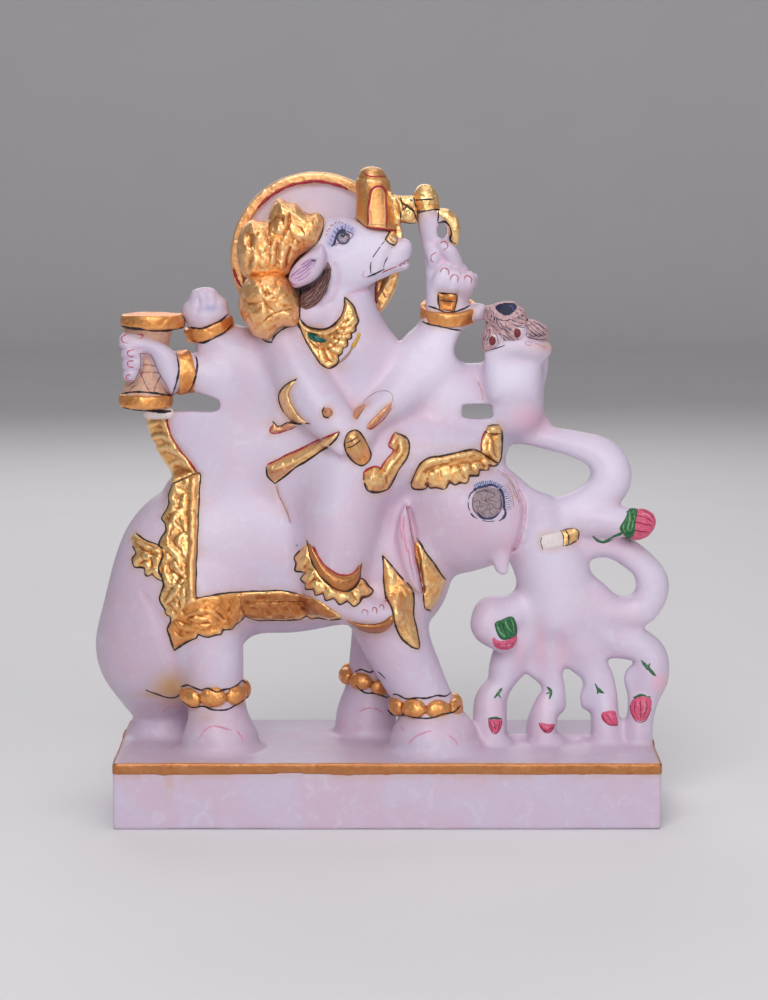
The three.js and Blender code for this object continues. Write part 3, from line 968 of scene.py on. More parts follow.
def rider_head():
    profile = cornered(
        [(-21.8, 278), (-14.8, 276.2), (-9.8, 274), (-0.4, 272.8), (3.2, 270.8), (5.8, 268.6)],
        [(7.8, 268.8), (10.2, 269), (11.6, 267.2)], [(11.6, 263.2), (10.6, 259.2), (10.6, 254.4)],
        [(6, 253.2), (-0.6, 250.8), (-4.8, 249), (-12.6, 246.4), (-20, 244.6)],
        [(-23.6, 254.4), (-21.8, 278)])
    return {"skull": [ball((-24.6, -3, 262.8), (17, 15.5, 16.2)), ball((-19.4, -4, 258.2), (15, 14, 14)),
        ball((-34.6, -11, 235.2), (10, 8, 8))],
        "snout": [slab(profile, -15.5, 7, 7.0), limb([(-18, -3, 264.2, 13), (-7, -4, 262.8, 11)]),
            ball((7.6, -5, 257.2), (2.6, 6, 2.5)), ball((8.6, -5, 266), (3.0, 7, 3.4))]}


def marble_details(clay):
    """Creases, folds and soft ridges of the carved front."""
    face = Relief((-60, 225), (20, 300))
    face.stroke([(11.2, 259.2), (6, 256.4), (0, 254.2), (-8.4, 251.8)], 1.5, -2.2, 0.6)
    face.stroke([(-8.4, 251.8), (-10.8, 251.8), (-11.4, 253.4)], 1.2, -0.6, 0.5)
    face.dab((-20.6, 270), (5.4, 3.8), 32, 1.2)
    face.stroke([(-27.8, 268.2), (-24.6, 273.4), (-20, 275.8), (-14.4, 274.8)], 2.6, 0.9, 0.3)
    face.stroke([(-24.6, 264.6), (-20.8, 264), (-17.2, 266)], 2.0, 0.5, 0.3)
    face.stroke([(-5.2, 253.4), (-4.2, 258), (-2.4, 262.6), (0.4, 266.8)], 5.2, 1.1, 0.9)
    face.stroke([(-24.6, 258), (-22.8, 249.8), (-25.6, 242.2), (-31.2, 237.6)], 2.4, -0.8, 0.3)
    face.stroke([(5.2, 253), (-2.8, 248.8), (-11.6, 245), (-18.2, 242.8)], 2.6, -1.2, 0.3)
    clay.emboss(face, (-60, 8))
    trunk = Relief((38, 60), (132, 165))
    trunk.stroke([(62, 151.2), (64.4, 143.2), (63.2, 132.4), (60.2, 124.2), (58.4, 122.4)], 3.0, -2.0,
        0.3)
    clay.emboss(trunk)
    flank = Relief((-140, 30), (60, 200))
    flank.stroke(
        [(-116.4, 103.8), (-110.8, 96), (-106.2, 85.6), (-103, 75), (-101.6, 68.2), (-99.4, 58.6)], 7.0,
        -0.8, 0.1)
    flank.stroke([(-52, 153.6), (-50.6, 148.4), (-47.4, 141.8), (-45.2, 135.2)], 1.6, -0.9, 0.2)
    flank.stroke([(10.4, 143.2), (12.8, 132.4), (14.6, 120), (17.4, 102.8)], 3.0, -1.6, 0.3)
    for gap in ([(-9.4, 97), (-8.4, 92.8)], [(-5.2, 98), (-4.2, 93.6)], [(-1.8, 100), (-1, 96)]):
        flank.stroke(gap, 1.2, -0.7, 0.3)
    clay.emboss(flank)
    arms = Relief((-130, 180), (90, 290))
    for crease in ([(-88.8, 244.2), (-87.4, 239.4), (-88.4, 234.8)],
            [(-84.2, 245.6), (-82.8, 240), (-84.2, 234.8)], [(-79.6, 243.2), (-79, 239), (-80.6, 234.8)]):
        arms.stroke(crease, 1.4, -0.7, 0.3)
    for crease in ([(-125, 218.2), (-119.8, 217.8), (-115.2, 217.8)],
            [(-124.6, 213), (-119.4, 213), (-114.2, 213)],
            [(-124.2, 207.8), (-119.4, 207.4), (-115.2, 207.8)]):
        arms.stroke(crease, 1.3, -0.9, 0.6)
    arms.stroke([(42.4, 202.2), (44, 198), (45, 193.2)], 1.2, -0.5, 0.2)
    clay.emboss(arms)


def model(clay, groups, soft, special=()):
    """Adds forms in turn, with a softness of its own for each group that `special` names."""
    rows = groups.items() if isinstance(groups, dict) else [("", groups)]
    for name, forms in rows:
        for form in forms:
            clay.add(form, dict(special).get(name, soft))


def carve_marble():
    """The whole murti as one field: every form runs softly into its neighbours."""
    clay = Clay(*BLOCK, MARBLE_CELL)
    model(clay, elephant_body(), 10)
    model(clay, elephant_head(), 7)
    model(clay, elephant_legs(), 6)
    model(clay, elephant_ear(), 3)
    model(clay, elephant_tusk(), 3)
    model(clay, trunks(), 4, {"root": 5, "upper loop": 3, "lower loop": 3})
    model(clay, stole(), 8)
    model(clay, [saddle_cloth()], 4)
    model(clay, rider_body(), 8)
    model(clay, rider_legs(), 8)
    model(clay, [halo_disc()], 2)
    model(clay, rider_head(), 4)
    for arms in (front_arms(), left_back_arms(), right_back_arms()):
        model(clay, arms, 5, {"fingers": 1.6})
    for gap, soft in gaps():
        clay.cut(gap, soft)
    model(clay, plinth(), 5)
    marble_details(clay)
    clay.field = clay.field + 0.22 * noise(*clay.everywhere(), 12.0, 17).astype(np.float32)
    return clay


def gaps():
    """The gaps cut right through the stone."""
    outlines = [([(-100.4, 195.6), (-92.4, 197.6), (-87.8, 196.8), (-79.4, 193.8), (-78.2, 190.8),
        (-80.4, 188.6), (-89.8, 188.6), (-100.6, 189)], 1.2),
        ([(-102.4, 222.8), (-101.6, 226), (-94.4, 227.4), (-91, 224.6), (-88.6, 216.2), (-94.4, 216.4),
            (-98.8, 217.2)], 1.2),
        ([(36, 191.4), (48.2, 191.4), (49, 188.6), (48.2, 185.4), (36, 185.4), (35.2, 188.6)], 1.0),
        ([(35.4, 226.4), (40, 228.4), (42.8, 229.8), (45.2, 228.4), (44.4, 224.2), (45.2, 215.2),
            (44.4, 213), (41, 213.4), (36.4, 211.6), (32.6, 213.6), (31.4, 217.2), (32.4, 221.4)], 3.0),
        ([(6, 275.6), (11.2, 274.2), (14.2, 266.8), (16, 256.2), (17, 244.6), (14.4, 232.8), (7, 222),
            (4.4, 223), (0.8, 231.6), (5.6, 244.2), (6.2, 252.4), (10.6, 255.2), (12, 260.8),
            (11.8, 266.8), (7.8, 270)], 2.5),
        ([(58.6, 172.6), (63.6, 172.4), (75.8, 169), (88, 165.4), (93.2, 162.8), (94.6, 159.4),
            (92.2, 154.6), (84.4, 150.4), (77.4, 149.4), (69.2, 151.6), (60.4, 158.6), (55.8, 163),
            (56.2, 168.8)], 4.0),
        ([(99.4, 118), (105, 118), (115, 111.8), (116.4, 107), (114.4, 102.4), (109.4, 103),
            (101.6, 108.6), (97, 113.6)], 4.0),
        ([(65.8, 63.8), (73, 57.2), (70.6, 51.4), (66.8, 42.2), (66, 34.4)],
            [(57, 34.4), (56.8, 48), (57.8, 53.8), (61.2, 59), (65.8, 63.8)], 3.5),
        ([(85.2, 66.6), (92.8, 60.2), (91.4, 52.8), (92.4, 47), (96.2, 44.2), (96.8, 34.4)],
            [(80.2, 34.4), (81, 42.6), (84.6, 47), (84.2, 57.2), (83, 64), (85.2, 66.6)], 3.5),
        ([(104.8, 70.6), (116.4, 69.6), (113.4, 65.6), (112.2, 60.6), (114, 53), (113.6, 43.2),
            (110.2, 43.2), (108.8, 55.2), (107, 63.4)], 3.0)]
    cuts = [(slab(Outline(*runs, closed=len(runs) == 1), -70, 70, 0.4), soft) for *runs, soft in outlines]
    hole = Outline([(25.4, 276), (27, 274.8), (27.6, 272.4), (26.8, 269.6), (25.4, 268.8), (23.8, 270),
        (23.4, 272.8), (24, 275.2)], closed=True)
    cuts.append((slab(hole, -40, 40, 0.3), 0.8))
    return cuts


# Gold laid over the carving

def leaf(relief, base, tip, width, rise, sway=0.2):
    """A pointed leaf with a scored midrib."""
    base, tip = np.array(base), np.array(tip)
    run = tip - base
    side = np.array([-run[1], run[0]]) * sway
    middle = base + run * 0.5 + side
    relief.stroke([base, middle, tip], width, rise, 0.25)
    relief.stroke([base + run * 0.15 + side * 0.4, middle, tip - run * 0.1], width * 0.22, -rise * 0.5,
        0.3)


def pit(relief, points, width, depth=0.6):
    """A deep cut of the carver's point between two leaves."""
    relief.stroke(points, width, -depth, 0.2)


def saddle_border():
    edge = Outline([(-100.8, 156.4), (-89, 159.4)],
        [(-87.4, 158.8), (-88.2, 147), (-89.4, 123.2), (-90, 107.6), (-90, 99.8)],
        [(-90, 99.8), (-77.4, 101.8), (-71.2, 102.6), (-51, 103.2), (-42.8, 102), (-32.6, 99),
            (-21.2, 90.8)], [(-21.2, 90.4), (-26.8, 89.6), (-32.2, 90.8)],
        [(-32.2, 90.8), (-35.4, 90), (-38.2, 91.4)], [(-38.2, 91.4), (-41, 89.6), (-43.8, 89.8)],
        [(-43.8, 89.8), (-49.6, 89.2), (-56.2, 89.6)], [(-56.2, 89.6), (-62.4, 89.4), (-67.4, 91.4)],
        [(-67.4, 91.4), (-69, 88.8), (-71.2, 87.4)], [(-71.2, 87.4), (-72.8, 85), (-74.4, 85)],
        [(-74.4, 85), (-76, 84.6), (-77.4, 85)], [(-77.4, 85), (-78.4, 82.6), (-80.8, 82.4)],
        [(-80.8, 82.4), (-85, 81.2), (-89.2, 82.6)], [(-89.2, 82.6), (-90.2, 80.8), (-91.6, 80.2)],
        [(-91.6, 80.2), (-96, 78.4), (-100.6, 75.2)], [(-100.6, 75.2), (-102, 79.8), (-103.6, 85)],
        [(-103.6, 85), (-102, 88.4), (-102.4, 90.8)], [(-102.4, 90.8), (-105.2, 92.2), (-104.8, 94.6)],
        [(-104.8, 94.6), (-107, 99), (-106.4, 102.8)], [(-106.4, 102.8), (-105, 105.6), (-105.6, 108)],
        [(-105.6, 108), (-107.4, 112.8), (-106.6, 116.8)],
        [(-106.6, 116.8), (-105.4, 120), (-105.8, 122.4)],
        [(-105.8, 122.4), (-107, 125.6), (-106, 128.8)],
        [(-106, 128.8), (-103.8, 131.8), (-104.4, 135.6)],
        [(-104.4, 135.6), (-105.8, 138), (-104.8, 140)],
        [(-104.8, 140), (-103.4, 142.2), (-102.4, 145.2)],
        [(-102.4, 145.2), (-102.8, 149.4), (-101, 153.8)])
    relief = Relief((-110, 70), (-20, 165))
    relief.stroke([(-90.8, 158), (-91.6, 137), (-92.4, 113.2), (-92.8, 98)], 3.4, 0.5, 0.9)
    relief.stroke([(-93.6, 156), (-94, 137), (-94.8, 113.2), (-95.2, 97)], 0.9, -0.5, 0.9)
    ridges = (([(-96.6, 157), (-100, 152.2), (-101, 148), (-99, 145.2)], 3.0),
        ([(-95.2, 148.4), (-96.8, 142.2), (-100, 138.4), (-101.4, 135.6)], 3.2),
        ([(-97.6, 142.8), (-95.8, 138), (-95, 132.4)], 2.6),
        ([(-101.4, 136.2), (-104, 130.4), (-103, 124.2), (-98.8, 120), (-97.4, 115.2)], 3.4),
        ([(-96.4, 130.4), (-98.2, 127), (-97, 122.8), (-95, 120)], 2.8),
        ([(-104.6, 115.2), (-104.6, 110.8), (-102.8, 107), (-99, 105.2)], 2.6),
        ([(-100.2, 117), (-98.4, 113.2), (-95.6, 110.4)], 2.4),
        ([(-96.6, 108.6), (-99.4, 104.6), (-101.8, 100.4), (-104.2, 97.6)], 2.8),
        ([(-101.4, 97.6), (-98.6, 95.2), (-97.2, 91.2)], 2.8),
        ([(-96.2, 103.8), (-96.2, 98), (-97.6, 93.6)], 2.2),
        ([(-94.8, 91.2), (-90.2, 92.8), (-85, 93.4), (-80.2, 91.6), (-77.4, 88.8)], 2.0),
        ([(-99.6, 88.4), (-95, 85.6), (-89.2, 85.6), (-83.6, 87)], 3.0),
        ([(-101, 83.6), (-98.8, 80.8), (-95.8, 81.2)], 2.0),
        ([(-93, 89.8), (-88.2, 89.8), (-82.6, 88.4)], 2.2))
    for course, width in ridges:
        relief.stroke(course, width * 1.15, 0.5, 0.25)
    relief.dabs(0.55, ((-101.4, 141.8), (2.0, 1.5), 30), ((-98, 150.4), (2.2, 1.4), -20),
        ((-103.6, 119), (1.8, 2.6), 0), ((-100.8, 102.8), (1.8, 1.4), 30),
        ((-102.4, 92.2), (1.8, 1.8), 0), ((-75.6, 88.8), (1.6, 1.1), 0))
    cuts = (([(-100.2, 148), (-97.6, 147), (-95.2, 145.6)], 1.5),
        ([(-100, 137.2), (-97.8, 134.6), (-95.2, 131.4)], 1.5),
        ([(-99.8, 133.8), (-101.8, 131.8), (-102, 129), (-100.6, 126.6)], 1.2),
        ([(-100.6, 126.6), (-98, 123.8), (-95.6, 119.2)], 1.6),
        ([(-102.4, 119.4), (-102.8, 116.2), (-102, 112.4)], 1.4),
        ([(-101.8, 113.2), (-99.8, 111.8), (-97.6, 110.8)], 2.4),
        ([(-97.2, 117), (-97, 114.2), (-96.4, 110.8)], 1.0),
        ([(-99.8, 108), (-97.6, 106.6), (-95.6, 107)], 1.0),
        ([(-99.4, 100.8), (-98, 99), (-98.6, 96)], 1.2), ([(-102.8, 103.8), (-103.8, 100)], 1.0),
        ([(-96.2, 93.2), (-94, 89.4)], 0.9), ([(-101, 144.2), (-98.6, 142.8), (-96.8, 142.8)], 0.9),
        ([(-99, 153.2), (-96.2, 151.8), (-94.2, 152.2)], 0.9),
        ([(-93, 88.4), (-88.2, 87.4), (-83.6, 88.4)], 0.8), ([(-98.8, 83.6), (-94, 83.2)], 0.8))
    for course, width in cuts:
        pit(relief, course, width * 0.8, 0.4)
    relief.stroke([(-66, 97.6), (-55.2, 98), (-39.6, 98.4)], 0.7, -0.5, 0.9)
    relief.stroke([(-69.8, 100.8), (-69.4, 97), (-67.4, 92.8)], 2.6, -0.3, 0.4)
    for start in range(6):
        base = np.array((-64.6, 96)) + np.array((4.8, 0.0)) * start
        leaf(relief, base, base + (5.0, -3.0), 1.7, 0.22, 0.25)
    corner = cornered([(-89.4, 99.6), (-79.6, 101.4), (-70.2, 102.4)], [(-69.8, 97), (-68.4, 91)],
        [(-71.2, 87.4), (-74.4, 85), (-77.4, 85), (-80.8, 82.4), (-85, 81.6), (-89.2, 82.6),
            (-91.6, 80.2), (-96, 78.4), (-100.6, 75.2)], [(-102, 79.8), (-103.6, 85)],
        [(-102, 88.4), (-97.6, 93.2), (-93.8, 97.6), (-89.4, 99.6)])
    hem = Outline([(-70.2, 102.4), (-51, 103.2), (-42.8, 102), (-32.6, 99), (-21.6, 91)],
        [(-21.6, 90.6), (-26.8, 89.8), (-32.2, 90.8), (-38.2, 91.4), (-43.8, 89.8), (-49.6, 89.2),
            (-56.2, 89.6), (-62.2, 89.6), (-68.4, 91)], [(-68.4, 91), (-69.8, 97), (-70.2, 102.4)])
    gilt("saddle_border", edge, 1.2, gold_leaf, relief, cell=0.42, crumple=0.45)
    strip = cornered([(-92.6, 157.6), (-88, 158.4)],
        [(-88.8, 147), (-89.8, 123.2), (-90.4, 107.6), (-90.4, 100.4)], [(-94, 97.6)],
        [(-94.2, 113.2), (-93.4, 137), (-92.6, 157.6)])
    wash("saddle_strip", strip, 0.25, plain_gold, 0.42, carved[-1:])
    # The saddle's corner and hem take darker golds, as painted shade
    wash("saddle_corner", corner, 0.18, gold_in_shade, 0.42, carved[-2:-1])
    wash("saddle_hem", hem, 0.18, gold_in_deep_shade, 0.42, carved[-3:-2])


def crupper():
    edge = cornered([(-118, 130.6), (-115.6, 128.6), (-112.8, 127)], [(-108.6, 125.6), (-105.4, 123.2)],
        [(-106.4, 115.6), (-105.6, 108)], [(-108.8, 109.4), (-110.6, 111.4)],
        [(-112.6, 110.4), (-114, 111.4)], [(-114.4, 114.2), (-116.4, 114.8)],
        [(-119.2, 114.8), (-120, 118.6)], [(-118.2, 121.4), (-119.4, 124.8)],
        [(-120, 128.6), (-118, 130.6)])
    relief = Relief((-128, 100), (-100, 135))
    relief.stroke([(-117.6, 127), (-112.4, 124.2), (-105.8, 121.4)], 1.8, 1.0, 0.6)
    relief.dabs(0.6, ((-117.2, 122.4), (1.8, 2.2), 20), ((-113.4, 120), (2.4, 2.0), -30),
        ((-117.2, 118), (2.2, 2.0), 0), ((-113.4, 115.2), (2.4, 2.2), -20),
        ((-109.2, 112.4), (2.6, 2.2), -30), ((-109.2, 117), (2.2, 2.4), -30))
    pit(relief, [(-117.2, 124.4), (-112.4, 121.8), (-106.8, 119.4)], 1.0)
    pit(relief, [(-111.6, 120), (-110.6, 116.6), (-111.6, 113.8)], 1.2)
    gilt("crupper_ornament", edge, 1.3, gold_leaf, relief, span=(-60, 12), crumple=0.4)


def scarf():
    """The end of the stole that falls behind the elephant's rider, in soft level folds."""
    edge = Outline([(-112.6, 187.2), (-112.8, 178.2), (-112.4, 171.2), (-109.2, 167.8), (-105.8, 164.6),
        (-102.2, 160.8), (-100.6, 155)], [(-100.6, 155), (-89.6, 158.8)],
        [(-89.6, 159.8), (-93.2, 165.4), (-97.8, 171.2), (-101.6, 178.2), (-103.4, 186.2)])
    relief = Relief((-116, 155), (-85, 195))
    folds = (([(-111.8, 181.4), (-107.2, 183.4), (-102, 181.4)], 3.4),
        ([(-112.4, 174.8), (-106.2, 176.8), (-99.8, 174.4)], 3.0),
        ([(-110, 169.2), (-103.4, 171.2), (-95.6, 167.8)], 3.6),
        ([(-104, 161.6), (-98, 164), (-91.4, 161.6)], 3.4))
    for fold, width in folds:
        relief.stroke(fold, width, 0.55, 0.8)
    gilt("stole_end", edge, 1.6, gold_leaf, relief, span=(-60, 14), crumple=0.2)


def brow_band():
    edge = cornered([(16, 151.6), (12.6, 152), (11.4, 154.6), (14, 160.8), (17, 164.8), (20.6, 166.6)],
        [(26.6, 167.4), (35.6, 169.4), (40.6, 170.4)], [(45, 168.4), (52, 163.8)],
        [(50.2, 162.6), (48.2, 163)], [(47.4, 160.8), (43.6, 160.8)], [(42.6, 158.4), (39, 158.2)],
        [(37.6, 154.8), (34, 154.8)], [(32, 153.8), (29.4, 155.2)], [(27.2, 151.8), (23.2, 152.4)],
        [(20.2, 152.4), (18.8, 154.2)], [(18.4, 152.2), (16, 151.6)])
    relief = Relief((8, 145), (56, 175))
    lobes = (((23.4, 156.4), (6.0, 4.4), 20), ((27.6, 158.4), (4.4, 4.4), 0),
        ((32.4, 158.6), (4.6, 4.0), 15), ((37.2, 160.6), (3.8, 3.6), 10), ((42.2, 162.2), (3.2, 2.6), 20),
        ((46.8, 164.6), (2.6, 2.0), 0), ((15.4, 156), (4.4, 4.6), -30))
    relief.dabs(1.5, *lobes)
    relief.stroke([(14, 158.8), (17.4, 162.6), (22, 165), (28.6, 165.4)], 4.4, 0.9, 0.5)
    relief.stroke([(28.2, 166.6), (35.2, 167.8), (40.8, 168.8)], 3.0, 0.6, 0.5)
    for gap in ([(18.8, 158), (19.2, 154.2)], [(28.6, 158), (29.4, 155)], [(34.8, 159.4), (35.2, 155.6)],
            [(39.6, 161.2), (40.2, 158.4)], [(44.6, 163.6), (45, 161.2)]):
        pit(relief, gap, 1.0, 0.4)
    gilt("brow_band", edge, 1.3, gold_leaf, relief, span=(-60, 6), cell=0.42, crumple=0.3)


def brow_strap():
    edge = cornered([(43.8, 169.2), (44.4, 174.6), (46.4, 179.4)],
        [(47.2, 181.6), (52.4, 181.8), (53.6, 179.4)], [(53.8, 172.8), (53.2, 166), (52, 163.8)],
        [(47.8, 166.6), (43.8, 169.2)])
    relief = Relief((40, 160), (58, 186))
    relief.stroke([(45.4, 172.6), (48.2, 171.2), (53, 171.6)], 0.8, -0.5, 0.7)
    relief.stroke([(46.4, 177.8), (49.2, 176.8), (53.4, 177.2)], 0.9, -0.5, 0.7)
    relief.dab((50, 179.6), (2.4, 1.5), 0, 0.7)
    relief.stroke([(48.6, 174.8), (48.8, 169.2), (50.2, 166.4)], 2.2, 0.7, 0.6)
    gilt("brow_strap", edge, 1.4, gold_leaf, relief, span=(-60, 14), crumple=0.2)


def harness_leaves():
    """The pointed tassel by the ear and the second one behind the ear."""
    tip = cornered([(-1.8, 120.2), (4.8, 111.6), (11.8, 103.8)],
        [(12.6, 99), (12.6, 91.6), (15.2, 78.8), (14.6, 75.6)], [(11.2, 77), (5.4, 83.4), (2.4, 95.6)],
        [(-0.4, 101), (-1.4, 108.4), (-1.8, 120.2)])
    gilt("ear_tassel", tip, 1.7, gold_leaf, edge=3.0, crumple=0.3)
    back = cornered([(13, 128.4), (20.8, 117.8), (27.6, 108.2)],
        [(25.4, 101.8), (23, 97.2), (20.6, 94.2)],
        [(18, 95.4), (17.4, 101.4), (16.2, 110), (14, 117.2), (13, 128.4)])
    gilt("harness_leaf", back, 1.2, gold_leaf, edge=2.6, crumple=0.3)


def collar():
    edge = cornered([(-41.2, 231.2), (-37.2, 228), (-31.4, 226.6), (-25.8, 227.8), (-21.6, 232.2),
        (-19.8, 237.6), (-19.4, 241.4)], [(-15.8, 237.6), (-14.2, 233.4)],
        [(-13.6, 230.6), (-14.8, 228.4)], [(-15, 226), (-16.8, 225)], [(-16.8, 222.8), (-18.6, 221.8)],
        [(-18.6, 219), (-20.6, 218)], [(-21, 215.8), (-22.8, 214.4)], [(-22.8, 211.6), (-24.8, 209.6)],
        [(-27.6, 208.6), (-31.2, 211)], [(-35, 216.6), (-38.6, 223.2), (-41.2, 229.2)])
    relief = Relief((-50, 200), (-8, 250))
    for rib in ([(-16.2, 236.2), (-17.6, 233), (-20, 231.2)],
            [(-15.4, 232), (-17.6, 229.8), (-21.4, 228.4)], [(-16.4, 227.4), (-19, 226), (-22.4, 226)],
            [(-18.2, 223.6), (-21, 223.2), (-23.8, 223.6)], [(-20, 220), (-22.8, 220.4), (-25.2, 221.4)],
            [(-22.4, 216.2), (-25.2, 217.6), (-27, 219.4)],
            [(-25.2, 212.4), (-27.6, 214.8), (-29, 217.6)], [(-29, 212), (-30.4, 215.2), (-31.6, 218.6)]):
        relief.stroke(rib, 2.6, 0.7, 0.5)
    relief.stroke(
        [(-38.6, 225), (-34.4, 220), (-30.4, 217.6), (-24.8, 219.4), (-20.4, 226), (-17.2, 235.2)], 0.8,
        -0.5, 0.7)
    relief.stroke([(-40.6, 228.8), (-35, 225.6), (-28.4, 225), (-22.8, 228.4), (-19, 235.2)], 1.5, 0.5,
        0.7)
    gilt("breast_collar", edge, 1.5, gold_leaf, relief, crumple=0.4, cell=0.42)


def anklet():
    """The rider's anklet: a plain crescent band above a fringe of scallops."""
    fringe = cornered([(-41, 122.4), (-43.6, 119.4), (-42.8, 116.4)], [(-42.8, 112.8), (-38.8, 112)],
        [(-40.6, 109), (-38.4, 106.8)], [(-38.2, 104.2), (-34.8, 104)], [(-33.4, 101.4), (-30.2, 102.2)],
        [(-28.8, 99), (-25, 99.6)], [(-22.2, 97), (-18.8, 98.4)], [(-15.6, 96), (-13, 97.8)],
        [(-11.8, 100.4), (-9, 100.8)], [(-6.6, 103.2), (-9, 105.6)], [(-10.8, 108.6), (-13, 109)],
        [(-15.6, 105), (-20.4, 103.2), (-26.2, 105.6), (-32.2, 111.6), (-36.2, 119.8), (-37.4, 126.2)])
    relief = Relief((-50, 90), (0, 130))
    relief.dabs(1.1, ((-40.4, 117.6), (2.8, 4.6), -20), ((-37.6, 110), (3.0, 3.8), -40),
        ((-33, 105.2), (4.0, 2.8), -35), ((-26.4, 101.8), (4.4, 2.8), -10), ((-19.4, 100), (4.4, 2.8), 0),
        ((-12.2, 102.8), (4.2, 3.0), 35))
    gilt("anklet_scallops", fringe, 1.0, gold_leaf, relief, crumple=0.25, cell=0.42)
    band = cornered([(-37.4, 127), (-36.2, 119.8), (-32.2, 111.6), (-26.2, 105.6), (-20.4, 103.2),
        (-15.6, 105), (-13, 109), (-12.2, 116.4)],
        [(-15, 112.6), (-19, 110.6), (-24.2, 111.6), (-29.6, 115.8), (-34.4, 123.2), (-37.4, 127)])
    gilt("anklet_band", band, 1.9, gold_in_deep_shade, edge=2.2, crumple=0.15, cell=0.42)


def foot_rest():
    edge = cornered([(-21.2, 90.6), (-16.6, 88.6), (-9.8, 87.2), (-3, 88), (3, 92.2)],
        [(3.4, 88.8), (-0.4, 84.4), (-5.8, 83), (-13, 84.8), (-21.2, 90.6)])
    gilt("foot_rest", edge, 1.5, gold_in_deep_shade, crumple=0.15)


def front_arm_gold():
    armlet = cornered([(-42.4, 203.4), (-46.2, 201.4), (-49, 198.6), (-50.4, 195.6), (-50, 191.8),
        (-48, 187.6), (-45, 184.2), (-41.6, 182.8), (-37, 182.8)],
        [(-39.4, 184.4), (-42.2, 187.6), (-44.6, 191.6), (-45.8, 195.8), (-45.2, 198.8), (-42.4, 203.4)])
    gilt("front_armlet", armlet, 1.5, gold_leaf, crumple=0.12, cell=0.4)
    lens = cornered([(-53, 183.6), (-51.4, 181.8), (-49.2, 182), (-46.4, 183.4)], [(-42.8, 182.2)],
        [(-47.4, 179.6), (-54.2, 178), (-55, 179.2)], [(-53, 183.6)])
    gilt("elbow_patch", lens, 0.8, copper_gold, cell=0.4)
    stud = disc_outline((-27.8, 187.8), 2.4, 0.95)
    gilt("elbow_stud", stud, 1.7, copper_gold, edge=2.0, cell=0.35, crumple=0.5)
    leaf = cornered([(-15.8, 186.2), (-15.4, 189.2), (-13, 190.8), (-8.8, 192)],
        [(-10.8, 189.4), (-13.8, 184.4)], [(-15.4, 184.8), (-15.8, 186.2)])
    gilt("hand_leaf_left", leaf, 0.8, copper_gold, cell=0.4)
    leaf = cornered([(-9.8, 181.4), (-6.8, 185), (-1.8, 189.6), (2.4, 193.6)],
        [(1.8, 190.6), (-2.4, 185), (-6.6, 180.6)], [(-8.4, 180.2), (-9.8, 181.4)])
    gilt("hand_leaf_right", leaf, 0.8, copper_gold, cell=0.4)


def club():
    edge = cornered([(-56.4, 162.8), (-45.4, 168.2), (-22.4, 178.4)],
        [(-24.8, 174.6), (-32, 169), (-42.6, 162.2), (-52.6, 154.4)], [(-55.8, 158), (-56.4, 162.8)])
    relief = Relief((-60, 150), (-20, 182))
    relief.stroke([(-53.4, 161.6), (-40.8, 167.4), (-25.8, 175.4)], 4.6, 0.7, 0.6)
    gilt("club", edge, 1.5, gold_leaf, relief, edge=2.6, crumple=0.12, cell=0.42)
    end = cornered([(-56.2, 162), (-53, 161.2), (-48.2, 162.2), (-42.6, 164.6)],
        [(-43.6, 162.2), (-52.6, 155)], [(-55.4, 158), (-56.2, 162)])
    wash("club_end", end, 0.25, copper_gold, 0.4, carved[-1:])


def capsule():
    """The seed capsule held in the lap: a smooth acorn with a scored cap."""
    edge = Outline([(-19.8, 173.2), (-19.2, 176.4), (-17.6, 178.4), (-15, 179.4), (-12.8, 178.2),
        (-10.4, 174.8), (-8.6, 171.2), (-7.6, 167.8), (-8.6, 164.8), (-11.2, 163), (-14, 163.6),
        (-16.8, 166), (-19, 169.4)], closed=True)
    relief = Relief((-24, 155), (-2, 186))
    relief.stroke([(-19.6, 171.2), (-16.4, 173.2), (-12.2, 176.4)], 0.8, -0.7, 0.9)
    relief.stroke([(-14.6, 177.8), (-12.2, 173.4), (-10.4, 168.2)], 3.0, 0.5, 0.6)
    gilt("seed_capsule", edge, 3.2, plain_gold, relief, edge=5.2, crumple=0.06, cell=0.4)


def horn():
    edge = cornered([(3.8, 178.4), (8.4, 176), (10.4, 172.4)],
        [(9.6, 167.4), (5.8, 161.4), (2.4, 155.4), (0.2, 151.6)], [(-4.4, 150.4), (-8.8, 151.2)],
        [(-10.8, 155.6), (-10.6, 159.6)], [(-8, 161.4), (-5.2, 162.2), (-2.8, 161.2)],
        [(-0.2, 165.6), (3.2, 170)], [(1.4, 172)], [(2, 174.6), (3.8, 178.4)])
    relief = Relief((-14, 145), (14, 182))
    relief.dab((-5.6, 156.2), (5.2, 5.2), 0, 1.6)
    relief.stroke([(6.6, 175.8), (6.6, 170.2), (1.4, 163.6), (-1.4, 158)], 3.4, 1.0, 0.7)
    relief.stroke([(-1.8, 161.6), (-0.4, 158), (0, 154.2)], 1.0, -0.5, 0.6)
    relief.stroke([(1.8, 171.2), (4.6, 169.2), (8, 167.4)], 0.9, -0.25, 0.6)
    gilt("horn", edge, 2.0, gold_leaf, relief, edge=3.4, crumple=0.15, cell=0.42)


def painted_tusk():
    """The short tusk painted on the trunks' root, with its gilt end."""
    white = cornered([(72.4, 129.4), (77.2, 130.6), (82.2, 131.8)], [(83.2, 129), (83.4, 125.2)],
        [(78.2, 124), (73.6, 123.2)], [(72, 126.2), (72.4, 129.4)])
    gold = cornered([(81.6, 131.8), (85, 132.6), (88.2, 133)], [(90, 131.4), (89.6, 127.6)],
        [(86.6, 126), (83, 124.8)], [(83, 128.6), (81.6, 131.8)])
    film("trunk_tusk", white, ivory_paint, 0.7, edge=2.4)
    gilt("trunk_tusk_tip", gold, 1.1, gold_leaf, edge=2.0, cell=0.36, crumple=0.1)


# Gold forms of their own

